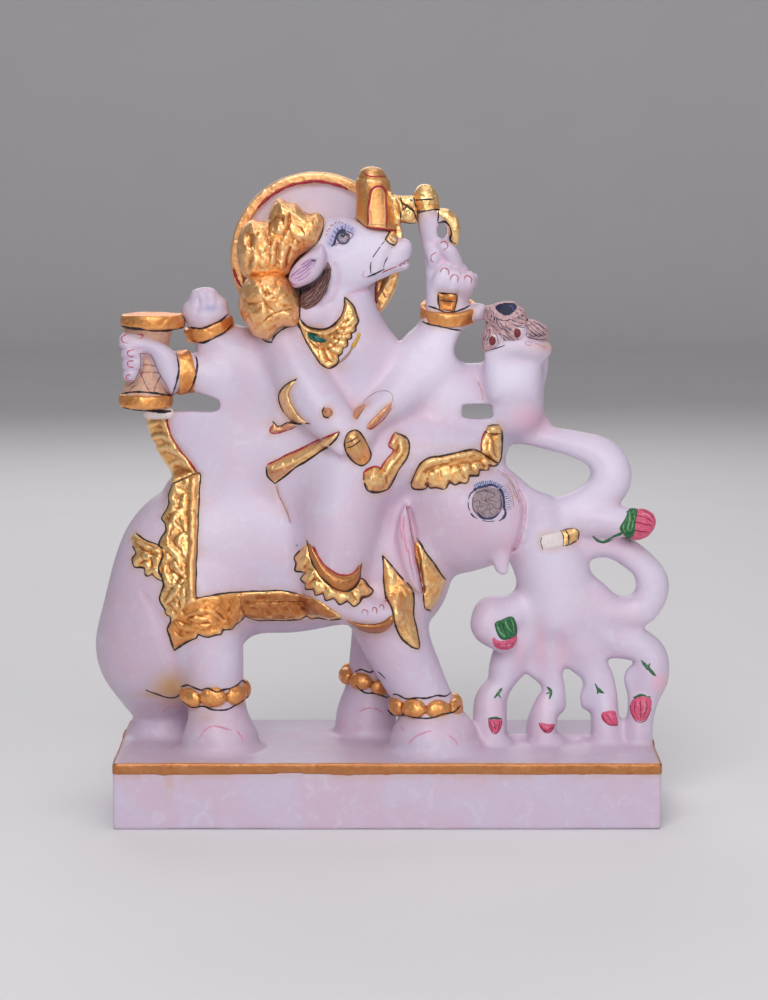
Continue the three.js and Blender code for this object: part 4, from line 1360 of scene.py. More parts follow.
def crumpled(x, y, z):
    """Locks like crumpled foil: broad lumps, a few creases and small dents."""
    wx = x + 2.2 * noise(x, y, z, 7.0, 21)
    wz = z + 2.2 * noise(x, y, z, 7.0, 22)
    ridge = 1 - np.abs(noise(wx, y, wz * 0.8, 6.4, 23)) * 2
    dents = noise(wx * 1.2, y, wz, 2.8, 24)
    return 0.38 * ridge + 0.32 * dents - 0.15


def pillow(outline, front, back, edge, deep):
    """An outline as a cushion: its front falls back by `deep` over the last `edge` millimetres."""
    low, high = box_behind(outline.low, outline.high, (front, back))

    def distance(x, y, z):
        u, v = seen(x, y, z)
        inside = np.clip(-outline.at(u, v) / edge, 0, 1)
        swell = front + deep * (1 - np.sqrt(1 - (1 - inside) ** 2))
        return np.maximum(outline.at(u, v), np.maximum(swell - y, y - back) * 0.8)

    return Form(low, high, distance)


def hair():
    """The gilt hair: a crest of piled locks over the skull, and a big knot on the shoulder."""
    crest = Outline([(-62.6, 277.4), (-58.8, 276.6), (-54.6, 277.4), (-53.8, 281.6), (-51.6, 285.8),
        (-50.4, 287.2), (-48.2, 286.6), (-45.8, 285.4), (-42.2, 284.6), (-39, 281.8), (-36, 280),
        (-32.8, 280.8), (-30.6, 279.4), (-29.2, 277), (-30.2, 272), (-31.6, 267.8), (-34.4, 264.6),
        (-39, 261.6), (-41.8, 259), (-44.2, 255.8), (-46.4, 251.6), (-54.4, 248.8), (-63.6, 249.8),
        (-67.4, 253.4), (-68.8, 259), (-69.4, 265.4), (-68.2, 271), (-65.4, 275.4)], closed=True)
    knot = cornered([(-63.6, 251.8), (-67, 247.2), (-68.6, 240.8), (-68.6, 235.8), (-66.6, 231.2),
        (-64, 227.4), (-62.2, 224.4), (-59.4, 222.8), (-54.6, 221.4)],
        [(-53.2, 223.4), (-50.6, 226.4), (-47.6, 227.8), (-42.4, 228), (-40.6, 230.2)],
        [(-40.4, 236.6), (-41, 241.8), (-44.2, 247.2), (-47, 251), (-54.4, 253.8), (-63.6, 251.8)])
    relief = Relief((-80, 215), (-20, 300))
    relief.dabs(0.8, ((-50.8, 274.6), (3.6, 3.8), 0), ((-32.6, 276.8), (2.3, 2.3), 0),
        ((-35.8, 269.2), (5.0, 5.4), 40), ((-61.2, 274.2), (5.4, 3.0), 10),
        ((-66.8, 262.6), (3.0, 8.0), 0), ((-58, 263.6), (3.4, 9.0), 10),
        ((-40.4, 279.4), (5.0, 2.6), -30), ((-61.8, 244.2), (6.0, 5.4), 0),
        ((-47.8, 243.2), (5.4, 5.0), -20), ((-55.4, 247.8), (4.0, 4.0), 0), ((-61, 234), (6.4, 5.0), 20),
        ((-48.4, 232), (8.0, 3.4), 15))
    for lock, width in (([(-50, 285.8), (-46.8, 283), (-42.2, 281.2), (-36.6, 278.8)], 4.6),
            ([(-50, 285.4), (-52.8, 281.2), (-54.2, 276.6)], 4.0),
            ([(-46.8, 279.4), (-47.4, 275.2), (-49.6, 271)], 2.0),
            ([(-44.6, 275.2), (-42.2, 271.4), (-39.8, 267.8)], 4.0),
            ([(-46, 272), (-47.6, 264.6), (-48.8, 255.2)], 4.4),
            ([(-52, 268.2), (-53.4, 262.6), (-53, 256.2)], 3.6),
            ([(-42.6, 268.2), (-43.2, 262.6), (-45, 257.2)], 4.2),
            ([(-58, 274.8), (-59, 268.2), (-60.4, 260.8), (-62.8, 253.4)], 4.0)):
        relief.stroke(lock, width, 0.5, 0.3)
    for crease, width, depth in (([(-45.4, 281.2), (-45.4, 275.6), (-48.2, 270)], 1.6, 0.8),
            ([(-54.2, 276.6), (-55.2, 271), (-53.8, 265.4)], 2.2, 0.8),
            ([(-63.6, 272.4), (-64, 269.2), (-63, 265.4)], 5.0, 0.9),
            ([(-50.6, 267.4), (-51, 261.8), (-51, 257.2)], 1.4, 0.6),
            ([(-44.6, 265.4), (-46, 260.8), (-47, 255.2)], 1.3, 0.6),
            ([(-42.2, 275.6), (-39, 272), (-38.6, 265.4)], 1.2, 0.5),
            ([(-66.4, 250.6), (-60, 252.4), (-52.4, 253), (-46, 251.6)], 2.0, 0.6),
            ([(-57.8, 230.2), (-54.4, 233), (-50.2, 234.8), (-44.2, 236.2)], 1.6, 0.8),
            ([(-58.6, 242.2), (-55.4, 237.6), (-51.6, 234.4)], 1.6, 0.5),
            ([(-52, 249.8), (-51.2, 245), (-53.4, 240.4)], 1.4, 0.4)):
        relief.stroke(crease, width, -0.6 * depth, 0.2)
    shaped("hair_crest", [pillow(crest, -21.5, 13.0, 8.0, 8.5)], hair_gold, cell=0.45, rough=crumpled,
        reliefs=[(relief, (-45, 6))])
    shaped("hair_knot", [pillow(knot, -27.5, 4.0, 12.0, 13.0)], hair_gold, cell=0.45, rough=lambda x, y,
        z: crumpled(x + 40, y, z), reliefs=[(relief, (-45, 2))])


def halo_rim():
    """The gilt rim of the halo: a ring with rounded edges and a slightly uneven surface."""
    cx, cz = HALO
    radius, half_wide, half_deep, middle = 39.9, 2.6, 4.6, 15.0

    def distance(x, y, z):
        around = np.hypot(x - cx, z - cz)
        return rounded(1.1, np.abs(around - radius + half_wide) - half_wide,
            np.abs(y - middle) - half_deep)

    ring = Form((cx - 41, 9, cz - 41), (cx + 41, 21, cz + 41), distance)
    shaped("halo_rim", [ring], rim_gold, cell=0.55, rough=lumps(0.14, 4.0, 31))


def halo_side():
    """The gilt part of the halo that shows between the jaw and the rim."""
    edge = cornered([(-5.2, 249.8), (0, 250.8), (6, 253.4)],
        [(6, 248.4), (5.2, 244.6), (3, 239), (0.2, 233.4)], [(-2.4, 234.8), (-4.8, 236.6)],
        [(-5.4, 242.8), (-5.2, 249.8)])
    gilt("halo_side", edge, 1.0, gold_leaf, span=(3, 20), crumple=0.25)


def temple():
    """The little domed shrine on the snout, with its doorway."""
    profile = ([(0, -3), (10.1, -3)], [(10.1, -3), (9.4, 4), (8.5, 12), (7.9, 20)],
        [(7.9, 20), (7.7, 21.6), (6.7, 22.9), (6.1, 24.4), (4.9, 26.4), (2.7, 27.5), (0, 27.9)])
    tower = turned(profile, (-5, -4.5, 274.4), (-4.2, 0), facets=0.14)
    foot = cornered(
        [(-21.8, 280.8), (-15, 278.6), (-10, 274.8), (-4.6, 273.4), (4.2, 272.6), (10.6, 272.4)],
        [(10.6, 259)], [(-21.8, 259)], [(-21.8, 280.8)])
    relief = Relief((-20, 265), (10, 304))
    door = [(-8.6, 275), (-8.6, 282), (-7.6, 289), (-6, 292), (-3.2, 292.6), (-1, 290.4), (-0.4, 284.4),
        (-0.4, 274.8)]
    relief.stroke(door, 1.3, 0.25, 1.0)
    shaped("shrine", [tower], plain_gold, cell=0.4, cuts=[slab(foot, -40, 30, 0.3)],
        rough=lumps(0.12, 4.5, 33), reliefs=[(relief, (-30, -4))])
    inside = Outline(door, [door[-1], door[0]])
    wash("shrine_door", inside, 0.3, plain_gold, 0.3, carved[-1:])


def snout_tusk_tip():
    """The gilt end of the tusk that lies along the snout."""
    edge = cornered([(1.2, 272.4), (0.4, 270.6), (-0.6, 268.6)], [(1.4, 266.8), (3.6, 265.8)],
        [(4.8, 267.8), (5, 269.6)], [(4.2, 272), (3, 272.6), (1.2, 272.4)])
    relief = Relief((0, 260), (10, 275))
    relief.stroke([(0.4, 269.6), (4, 267)], 0.5, -0.4, 0.9)
    wedge = cornered([(2.8, 276.6), (5.8, 275.6), (7, 272), (7.6, 267.8)], [(4.6, 267.4)], [(2.8, 276.6)])
    shaped("snout_gilding", [slab(wedge, -7, 1, 1.0)], gold_leaf, cell=0.36)
    gilt("snout_tusk_tip", edge, 1.5, gold_leaf, relief, edge=1.2, cell=0.3, over=carved[-3:-2])


def drum():
    """The hourglass drum in the left hand: gilt rims, a tan waist and an ivory peg. Its string lines are
    painted with the other marks.
    """
    waist = [turned(([(0, -20), (11.4, -20)], [(11.4, -16), (9.6, -8), (8.8, 0), (9.8, 8), (11.4, 15)],
        [(11.4, 20), (0, 20)]), (-111.6, -4, 211.8), (3.0, 0))]
    shaped("drum_body", waist, drum_skin, "paint", 0.5)
    for name, place, radius, tall in (("drum_rim_top", (-108.8, -4, 231), 15.0, 6.6),
            ("drum_rim_foot", (-112.2, -4, 194), 12.8, 6.4)):
        low, high = -tall / 2, tall / 2
        ring = turned(([(0, low), (radius - 1.2, low)],
            [(radius - 1.2, low), (radius - 0.3, low + 0.8), (radius, 0), (radius - 0.3, high - 0.8),
                (radius - 1.2, high)], [(radius - 1.2, high), (0, high)]), place)
        shaped(name, [ring], gold_in_shade, rough=lumps(0.32, 5.0, 34))
    shaped("drum_peg", [limb([(-110.4, -4, 188.4, 3.4), (-102, -6, 188.2, 3)], 1)], ivory_paint, "paint",
        0.5)


def bangles():
    for name, centre, radii, height, tilt, yaw in (
            ("bangle_raised_left", (-82.8, 1, 227.4), (11.8, 11.6), 6.6, -19, -8),
            ("bangle_drum_hand", (-94.6, -5, 207.2), (10.2, 10.6), 8.8, 81, 12),
            ("bangle_raised_right", (28.8, 1, 235), (13.5, 13.0), 7.0, 0, -17)):
        shaped(name, [bangle(centre, radii, height, tilt, yaw)], gold_in_shade, rough=lumps(0.25, 4.0, 41))


def ankle_beads():
    """Strings of big oval beads round three of the elephant's ankles."""
    for name, centre, rx, ry, count, size, start, sway in (
            ("beads_near_hind", (-80.6, -15, 57.6), 13.2, 12.8, 7, (6.4, 3.9, 4.9), -90, 0.9),
            ("beads_near_fore", (18.2, -15, 52.0), 14.2, 13.0, 8, (6.1, 3.9, 4.6), -68, -0.6),
            ("beads_far_fore", (-8.3, 19, 57.0), 11.6, 11.0, 7, (5.8, 3.6, 4.2), -60, -3.0)):
        beads = []
        for k in range(count):
            angle = math.radians(start + 360 / count * k)
            x = centre[0] + rx * math.cos(angle)
            y = centre[1] + ry * math.sin(angle)
            z = centre[2] + sway * math.cos(angle) + 0.4 * math.sin(3 * angle)
            beads.append(bead((x, y, z), size, angle + math.pi / 2))
        shaped(name, beads, gold_in_shade, soft=0.8, cell=0.45, rough=lumps(0.22, 3.0, 43))


def bead(centre, size, heading):
    """An oval bead whose long side lies along a level heading."""
    cx, cy, cz = centre
    c, s = math.cos(heading), math.sin(heading)
    reach = max(size)

    def distance(x, y, z):
        dx, dy, dz = x - cx, y - cy, z - cz
        return oval_distance((dx * c + dy * s, dy * c - dx * s, dz), size)

    return form_round(centre, reach, distance)


def goad():
    """The elephant goad in the raised hand: a hooked bird's head, a domed cap and a ring."""
    head = cornered([(-0.4, 292.2), (2, 290.4), (4.2, 288.8), (6.8, 288.6), (9.8, 288.8), (13, 288.6)],
        [(13.8, 283), (14, 276.2)], [(10.2, 275.8), (6.4, 276.2)], [(5.8, 274.8), (2.4, 274.8)],
        [(1, 283.4), (-0.4, 292.2)])
    relief = Relief((0, 270), (24, 292))
    relief.dab((9.8, 280.2), (3.2, 3.4), 0, 1.2)
    relief.stroke([(7, 288), (8.8, 284.8), (12, 282.6), (13.4, 278.4)], 0.8, -0.6, 0.6)
    relief.stroke([(4.6, 287.6), (6.4, 284), (7, 279.8)], 1.8, 0.7, 0.4)
    shaped("goad_hook", [slab(head, -10.0, 3.0, 2.4)], gold_leaf, cell=0.36, rough=lumps(0.15, 3.0, 51),
        reliefs=[(relief, (-30, 0))])
    profile = ([(0, -0.5), (6.2, -0.5)], [(6.2, -0.5), (6.0, 4), (6.2, 4.6)],
        [(6.2, 4.6), (5.4, 9.0), (3.0, 12.4), (0, 13.6)])
    shaped("goad_cap", [turned(profile, (18.6, -1, 280.8), (-5, 0))], gold_leaf, cell=0.4,
        rough=lumps(0.15, 3.0, 52))
    shaped("goad_ring",
        [limb([(23.6, -3, 280.4, 2.6), (27.2, -3, 279.8, 3), (30, -3, 276.6, 3.3), (30.8, -3, 272.6, 3.1),
            (31, -3, 268.4, 2.2), (30.4, -3, 267, 1.6)], 5)], gold_leaf, cell=0.4,
        rough=lumps(0.15, 3.0, 53))
    box = cornered([(23.8, 243.4), (32.4, 243)], [(32.4, 240), (31.2, 235)], [(24.6, 235.8)],
        [(24, 240), (23.8, 243.4)])
    gilt("wrist_clasp", box, 1.4, gold_in_shade, cell=0.4, over=carved[1:])


def plinth_line():
    """The hand-drawn gold line round the plinth's top edge."""
    low, high = (-128, -50, 22), (128, 50, 33)
    clay = Clay(low, high, 0.6)
    x, y, z = clay.everywhere()
    stone = marble.finer(clay)
    side, back, front, line_foot = 125.2, 47.6, 47.0, 25.9
    inward = -np.maximum(np.abs(x) - side, np.where(y > 0, np.abs(y) - back, np.abs(y) - front))
    foot = line_foot + 0.4 * noise(x, y, 0 * z, 22.0, 61) + 0.2 * noise(x, y, 0 * z, 6.0, 62) - z
    skin = np.maximum(np.maximum(stone - 0.3, -(stone + 1.0)), np.maximum(inward, foot))
    clay.field = skin.astype(np.float32)
    cast("plinth_line", clay, gold_paint, "gilding", 1)


# Painted decoration

def stroke(points, width, **how):
    """A stroke that has settings of its own."""
    return points, width, how


def film(name, outline, material, rise=0.22, span=FRONT, cell=0.3, over=(), relief=None, edge=0.5):
    """A flat patch of paint."""
    gilt(name, outline, rise, material, relief, span, edge, cell, 0.7, "paint", over=over)


def black_lines():
    """The thin black outlines round the gilding."""
    lines = [
        # the saddle's border
        ([(-89, 159.4), (-87.6, 158.8), (-88.2, 147), (-89.4, 123.2), (-90, 107.6), (-90, 100.4)], 0.8),
        ([(-90, 100), (-77.4, 102), (-71.2, 102.8), (-51, 103.4), (-42.4, 102.2)], 0.8),
        ([(-100.8, 153.8), (-102.4, 149.4), (-102.4, 145.2), (-103.6, 142.2), (-105, 140),
            (-105.8, 137.8), (-104.4, 135.6), (-104.2, 131.8), (-106.2, 128.8), (-107.2, 125.6),
            (-105.8, 122.4), (-105.8, 120), (-106.8, 116.8), (-107.4, 112.8), (-105.8, 108),
            (-105.4, 105.6), (-106.6, 102.8)], 0.85),
        ([(-106.6, 102.8), (-107.2, 99), (-105, 94.6), (-104.4, 92.2), (-102.4, 90.8), (-102.2, 88.4),
            (-103.8, 85), (-102.4, 79.8), (-100.6, 74.8)], 0.85),
        ([(-100.6, 74.8), (-96, 77.8), (-91.6, 80), (-90, 80.8), (-89.2, 82.4), (-85, 81), (-80.8, 82),
            (-78.4, 82.6), (-77.4, 84.6), (-74.4, 84.8), (-72.8, 85.2), (-71.2, 87.2), (-69, 89),
            (-67, 91.2)], 0.85),
        ([(-67, 91.2), (-61.8, 89.2), (-56.2, 89.2), (-49.6, 89), (-43.8, 89.4), (-41, 89.6), (-38.2, 91),
            (-35.4, 89.8), (-32.2, 90.4), (-26.8, 89.2), (-21.2, 89.8)], 0.7),
        # the crupper
        ([(-118, 130.8), (-115.6, 128.8), (-112.8, 127.2), (-108.6, 125.8), (-105.4, 123.4)], 0.7),
        ([(-119.8, 124.8), (-118.2, 121.6), (-120.2, 118.6), (-119, 114.8), (-116.4, 114.4),
            (-114.4, 114), (-114, 111), (-112.4, 110.4), (-110.6, 111), (-108.4, 109.2), (-105.6, 107.8)],
            0.75),
        # the scarf's foot
        ([(-101.8, 153.8), (-99, 155), (-94.2, 157), (-89.4, 159.2)], 0.75),
        # the brow band and its strap
        ([(11.2, 154.6), (12.4, 151.8), (16, 151.2), (18.4, 152.2), (19, 154), (20.4, 152.2),
        (23.2, 152.2), (27.2, 151.6), (29.4, 154.8), (32, 153.6), (34, 154.4), (37.6, 154.6), (39, 157.8),
        (42.6, 158), (43.6, 160.6), (47.4, 160.6), (48.2, 162.6), (50.2, 162.4), (52.2, 163.6)], 0.9),
        ([(11.2, 154.6), (13.8, 160.8), (17, 165), (20.6, 167), (26.6, 167.6), (35.6, 169.8),
            (40.6, 170.6)], 0.75), ([(40.6, 170.6), (45, 168.6), (48.2, 166.6), (52.2, 163.8)], 0.7),
        ([(53.8, 179.4), (54.2, 172.8), (53.4, 166), (52.2, 163.8)], 0.75),
        ([(46.8, 181.2), (49.6, 182), (52.6, 182)], 0.5),
        stroke([(45.4, 179.2), (48.6, 177.6), (53.4, 178)], 0.55, span=(-60.0, 10.0)),
        # the tassel and the leaf behind the ear
        ([(-2, 120.4), (5, 112), (12, 104), (12.8, 99), (12.8, 91.6), (15.4, 78.8), (15, 75.4)], 0.8),
        ([(15, 75.4), (10.8, 76.8), (5.2, 83.2), (2, 95.4), (-0.8, 100.8), (-1.6, 108.4), (-2, 120.4)],
            0.7), ([(13.6, 128.8), (21, 118), (27.8, 108.6)], 0.7),
        ([(13.4, 120), (15.8, 110), (17.2, 101.4), (17.8, 95.2), (20.8, 93.6)], 0.7),
        # the collar
        ([(-40.6, 231.8), (-37.2, 228.2), (-31.4, 227), (-25.8, 228.4), (-21.6, 232.6), (-20, 237.8),
        (-19.6, 241.8)], 0.8),
        ([(-19.6, 241.8), (-15.6, 237.6), (-13.8, 233.4), (-13.2, 230.6), (-14.4, 228.4), (-14.6, 226),
            (-16.4, 224.8), (-16.4, 222.8), (-18.4, 221.6), (-18.4, 219), (-20.4, 217.8), (-20.8, 215.6),
            (-22.6, 214), (-22.6, 211.6), (-24.8, 209.2), (-27.6, 208.4), (-31.2, 210.6)], 0.8),
        ([(-41, 231.6), (-41.4, 229.2), (-38.6, 222.8), (-35, 216.2), (-31.2, 210.6)], 0.75),
        # the anklet
        ([(-41, 122.6), (-43.8, 119.4), (-43, 116.4), (-43.2, 112.8), (-39, 112), (-40.8, 109),
        (-38.6, 106.6), (-38.4, 104), (-35, 103.8), (-33.6, 101.2), (-30.2, 102), (-29, 98.6),
        (-25, 99.4), (-22.2, 96.8), (-18.8, 98.2), (-15.6, 95.8), (-12.8, 97.6), (-11.6, 100),
        (-8.8, 100.6), (-6.4, 103.2), (-8.6, 105.8), (-10.6, 108.6), (-12.4, 109.6)], 0.8),
        ([(-37.6, 127.4), (-36.4, 119.8), (-32.4, 111.6), (-26.4, 105.4), (-20.4, 103), (-15.6, 104.6),
            (-12.8, 109), (-12, 116.6)], 0.8),
        # the armlet and the elbow's patch
        ([(-42.2, 203.6), (-46.2, 201.6), (-49.2, 198.8), (-50.6, 195.6), (-50.2, 191.6), (-48.4, 187.8)],
        0.75), ([(-45.4, 183.8), (-41.6, 182.4), (-38.8, 182.8), (-36, 182.4)], 0.7),
        ([(-43.2, 202.8), (-42.2, 203.8)], 1.0),
        ([(-53.6, 183.6), (-51.4, 181.4), (-49.2, 181.8), (-46.4, 183.2), (-42.6, 182.2)], 0.55),
        ([(-29, 190.6), (-30.2, 188.6), (-29.4, 185.8), (-27.2, 185.2)], 0.7),
        # the club, the capsule, the horn
        ([(-22.2, 178.4), (-24.6, 174.4), (-31.8, 168.8), (-42.4, 162), (-52.6, 154.2)], 0.9),
        ([(-52.6, 154.2), (-56, 157.8), (-56.8, 162.6)], 0.9),
        ([(3.8, 178.8), (8.6, 176.4), (10.6, 172.4), (9.8, 167.4), (6, 161.4), (2.6, 155), (0.2, 151.4),
            (-4.4, 150), (-9, 151), (-10.6, 154.6)], 0.75),
        ([(-19.6, 173.6), (-16.8, 174.4), (-13.2, 176.4)], 0.5),
        ([(-19.2, 171), (-16, 172.2), (-12.2, 174.8)], 0.6),
        ([(-19.2, 176.8), (-20.2, 173.2), (-19.2, 169.2), (-17, 165.6), (-14, 163.4), (-11.2, 162.8),
            (-8.4, 164.8), (-7.4, 167.8), (-8.4, 171.4), (-10.2, 175), (-12.6, 178.4), (-15, 179.6),
            (-17.6, 178.8), (-19.2, 176.8)], 0.6),
        # the hair over the arm and along the forehead
        ([(-53.8, 220.6), (-51.8, 224.4), (-48, 227.2), (-42, 228.2)], 0.75),
        ([(-31, 280), (-29.4, 276.6), (-30.6, 270), (-35.2, 264.2), (-40.4, 260.6)], 0.6),
        ([(-40.2, 245.6), (-40.2, 238.6), (-40.6, 231.6)], 0.6),
        ([(-58.2, 222.4), (-56, 221), (-53.4, 220.6)], 0.7),
        # the drum
        stroke([(-123.8, 228.2), (-115, 226.6), (-101.8, 226.2), (-94.2, 227.8)], 1.2, span=(-60.0, 0.0)),
        ([(-94.2, 227.6), (-94.2, 231.6), (-97.2, 234)], 0.6),
        ([(-124.2, 196.6), (-115.4, 197.6), (-107, 196.6), (-100, 195.8)], 0.9),
        ([(-125.4, 190.2), (-115.4, 188.8), (-104.2, 188.4), (-98.6, 189)], 1.3),
        # the wrist bangles
        ([(-98.6, 217.2), (-97.2, 210.6), (-97.8, 203), (-100.2, 196.6)], 0.9),
        ([(-89.6, 216.2), (-88.6, 210.6), (-89.4, 204), (-92.4, 197.4)], 0.9),
        ([(-93.6, 228), (-86.2, 227.4), (-78.6, 230.2), (-74, 234)], 0.9),
        ([(-90.4, 221.4), (-85.8, 220.6), (-77.4, 224.2), (-71.8, 229.2)], 0.9),
        ([(17.6, 238.2), (23.8, 236), (28, 234.6), (35.2, 236), (38.8, 238)], 0.75),
        ([(15.4, 231.2), (20.2, 229), (32.2, 226.6), (37.6, 226.4), (40, 229.2)], 0.75),
        # the clasp on the wrist
        stroke([(23.8, 243.8), (27.8, 243.6), (32.6, 243.2)], 0.7, straight=True),
        ([(32.6, 243.2), (32.4, 240), (31.4, 234.8)], 0.6),
        ([(23.8, 243.8), (23.8, 240), (24.6, 235.8)], 0.6), ([(24, 240.2), (32.4, 239.6)], 0.6),
        # the ankle beads, over and under
        ([(-97.6, 57.2), (-94.6, 58.2), (-91.4, 56.8), (-88, 55.6), (-84.8, 56.6), (-80.6, 54.8),
        (-77.2, 55.8), (-74.4, 56.4), (-71, 58.2), (-68.2, 60.4), (-66.2, 58.6)], 0.8),
        ([(-96.6, 50.2), (-92.4, 47.2), (-87.2, 47.8), (-82, 46.2), (-75.8, 46.2), (-70.2, 49.4),
            (-65.4, 52.4)], 0.8),
        ([(0, 52.4), (4.2, 53.6), (8.6, 51.6), (13.8, 52), (18.6, 51.6), (23.8, 53.2), (28, 52.8),
            (31.2, 55), (34.2, 53.6)], 0.8),
        ([(0, 46.2), (3.4, 43.4), (8.6, 43.6), (13.8, 42.2), (20.4, 42.2), (26.6, 44), (31.4, 45),
            (35, 48.4)], 0.8),
        ([(-15.2, 64.6), (-12.2, 65.6), (-8.4, 64.2), (-4.8, 64.8), (-0.4, 61)], 0.75),
        ([(-15.2, 58.4), (-10.8, 54.4), (-5.2, 54), (0.4, 51.8)], 0.75),
        ([(-114.2, 55.8), (-109.8, 54), (-105.2, 52.2), (-101, 52), (-97.8, 53.6)], 0.8),
        # the goad
        ([(6.2, 288.2), (7.4, 285.4), (10.2, 283), (13, 280.2), (14, 277)], 0.7),
        ([(6.4, 276.8), (6.6, 281.2), (9.2, 283.2), (12, 282.2), (13.6, 278.8)], 0.6),
        ([(6.2, 276.6), (9.8, 276), (13.4, 276.2)], 0.6),
        ([(12.2, 288.8), (13.2, 284.4), (14.2, 280.8)], 0.7),
        ([(12.8, 286.6), (17.2, 287), (22.2, 287.2)], 0.75),
        ([(13.8, 280.8), (18, 281.8), (24.6, 282.4)], 0.8),
        ([(24.2, 282), (23.8, 278.8), (23.4, 276.6)], 0.6),
        ([(23.4, 276.2), (26.6, 276.8), (29, 274.8), (29.8, 271.4), (29.4, 268.2), (32.6, 266.2)], 0.8),
        # the band on the painted tusk
        ([(81.4, 132), (83.2, 129), (83, 124.8)], 0.4),
        ([(84, 132.4), (85.6, 129.4), (85.4, 125.6)], 0.7),
        ([(88.4, 133.2), (90.2, 131.4), (89.8, 127.4)], 0.4),
        ([(83.2, 124.8), (86.6, 125.6), (89.6, 127.2)], 0.4),
        ([(81.4, 132), (85, 132.8), (88.4, 133.2)], 0.3),
        ([(72.8, 129), (72.2, 126.6), (73.4, 123)], 0.4),
        # the tusk on the rider's snout
        ([(-7.4, 252.6), (-7.8, 256), (-7, 259.4)], 0.5),
        ([(-6.6, 260.2), (-4.8, 262.8), (-3.2, 265.2)], 0.42), ([(-2.8, 265.6), (-1, 267.8)], 0.3),
        ([(-1.8, 255), (-0.8, 258), (0.4, 260.6)], 0.36), ([(0.8, 261.2), (2.4, 265.2)], 0.28),
        ([(-9, 251.2), (-6, 252.2), (-1, 254.8)], 0.8),
        ([(1.6, 272.6), (0.4, 270.6), (-0.8, 268.4)], 1.3),
        ([(-0.6, 268.4), (1.4, 266.6), (3.4, 265.6)], 0.7),
        ([(5, 269.6), (4.6, 267.4), (3.4, 265.6)], 1.1)]
    painted("black_outlines", lines, black_paint, 1.25)


def red_lines():
    """Red lines along the gilding, and the painted nails."""
    lines = [stroke([(-103.2, 186.2), (-101.4, 178.2), (-97.6, 171.2), (-93, 165.4), (-89, 159.8)], 1.1,
        span=(-60.0, 14.0)), ([(-56.4, 163.2), (-45.4, 168.6), (-32.2, 174.8), (-22.4, 178.8)], 0.8),
        ([(3.4, 178.8), (1.6, 174.6), (1, 171.8), (3, 169.8), (-0.4, 165.6), (-3, 161.4)], 1.0),
        ([(-3, 161.4), (-5.2, 162.4), (-8, 161.8), (-10.8, 159.8), (-11.2, 156)], 0.8),
        ([(44.4, 169.8), (44.2, 174.6), (46, 179.2)], 0.9),
        ([(9.2, 143.6), (11.2, 132.4), (13, 123.8), (13.6, 117.6), (16.2, 106.2), (16.4, 102.2)], 0.75),
        ([(-34.8, 124.8), (-31.6, 118.6), (-26.6, 113.2), (-21.6, 111), (-16.4, 111.6), (-13, 115.2)],
            1.1), ([(10.2, 259.6), (6, 257), (2.4, 255), (-2.4, 253)], 0.42),
        ([(-54.2, 181.6), (-54.8, 179), (-52.4, 177.8), (-47.2, 179.2), (-42.8, 181.4)], 0.6),
        ([(-9.6, 180.8), (-6.8, 180.2), (-1.4, 185), (2.2, 190)], 0.5),
        # the shrine
        ([(-11.2, 299.6), (-9.2, 298.2), (-6, 297.6), (0.2, 297.6)], 0.75),
        ([(-15, 278.6), (-10, 274.8), (-4.6, 273.6), (0.2, 273), (4.2, 273)], 0.8),
        ([(-9, 274.8), (-8.8, 282), (-7.8, 289), (-6.2, 292.2), (-3.6, 293), (-1, 291.4), (-0.2, 284.4),
            (-0.2, 274)], 0.9), ([(-7.8, 290.8), (-5.2, 292.8), (-1.8, 292.6), (-0.6, 290)], 1.1)]
    rim = [(-33.5 + 34.3 * math.cos(a), 261.0 + 34.2 * math.sin(a)) for a in np.radians(
        np.linspace(63, 140, 30))]
    lines.append(stroke(rim, 1.3, span=(-60.0, 16.0), lift=0.4))
    lines.append(
        stroke([(-4.6, 249.8), (-5.4, 245), (-5.2, 240.4), (-4.2, 235.8)], 1.0, span=(-60.0, 20.0)))
    lines.append(stroke([(-71.6, 255.2), (-69.8, 250.2), (-67.6, 246.4)], 1.2, span=(-60.0, 20.0)))
    nails = ([(-120.8, 224.4), (-123.2, 223.8), (-123.8, 222.2), (-122.8, 220.6), (-120.8, 220.2)],
        [(-116.4, 224.4), (-114.2, 224.4), (-114, 223), (-115.6, 222.6)],
        [(-118, 217.4), (-120.6, 216.8), (-121, 215.4), (-120, 214), (-117.8, 214.2)],
        [(-118.2, 212), (-120.6, 211.8), (-121, 210.4), (-120, 209.2), (-118, 209.2)],
        [(-119.6, 205.8), (-121.4, 205.2), (-121.8, 203.8), (-120.6, 202.6), (-119, 202.8)],
        [(24.8, 267), (26.6, 267.6), (28.2, 266.2), (27.8, 264.6), (26.2, 263.6)],
        [(22.8, 262.6), (20.6, 261), (20.4, 258.8), (21.8, 258.2)],
        [(24.8, 253.2), (25.6, 255), (27.2, 255.4), (28.6, 254), (28.4, 251.6)],
        [(29.4, 249.8), (30, 251.8), (31.6, 252.2), (33, 250.8), (32.8, 248.6)],
        [(35.8, 250.2), (36.6, 251.6), (38, 251.6), (39.4, 250.2), (39, 248.2)],
        [(-12, 92.4), (-11.2, 94.4), (-9.2, 93.6), (-9.2, 91.6)],
        [(-7.2, 93.4), (-6.4, 95.4), (-4.8, 94.6), (-4.8, 92.4)],
        [(-3.8, 95.2), (-3, 96.8), (-1.6, 96), (-1.4, 94)],
        [(-1, 98), (-0.2, 99.2), (1, 98.4), (1, 96.6)])
    painted("nails", [(nail, 0.42) for nail in nails], nail_paint, taper=0.3)
    painted("red_lines", lines, red_paint, 1.15)


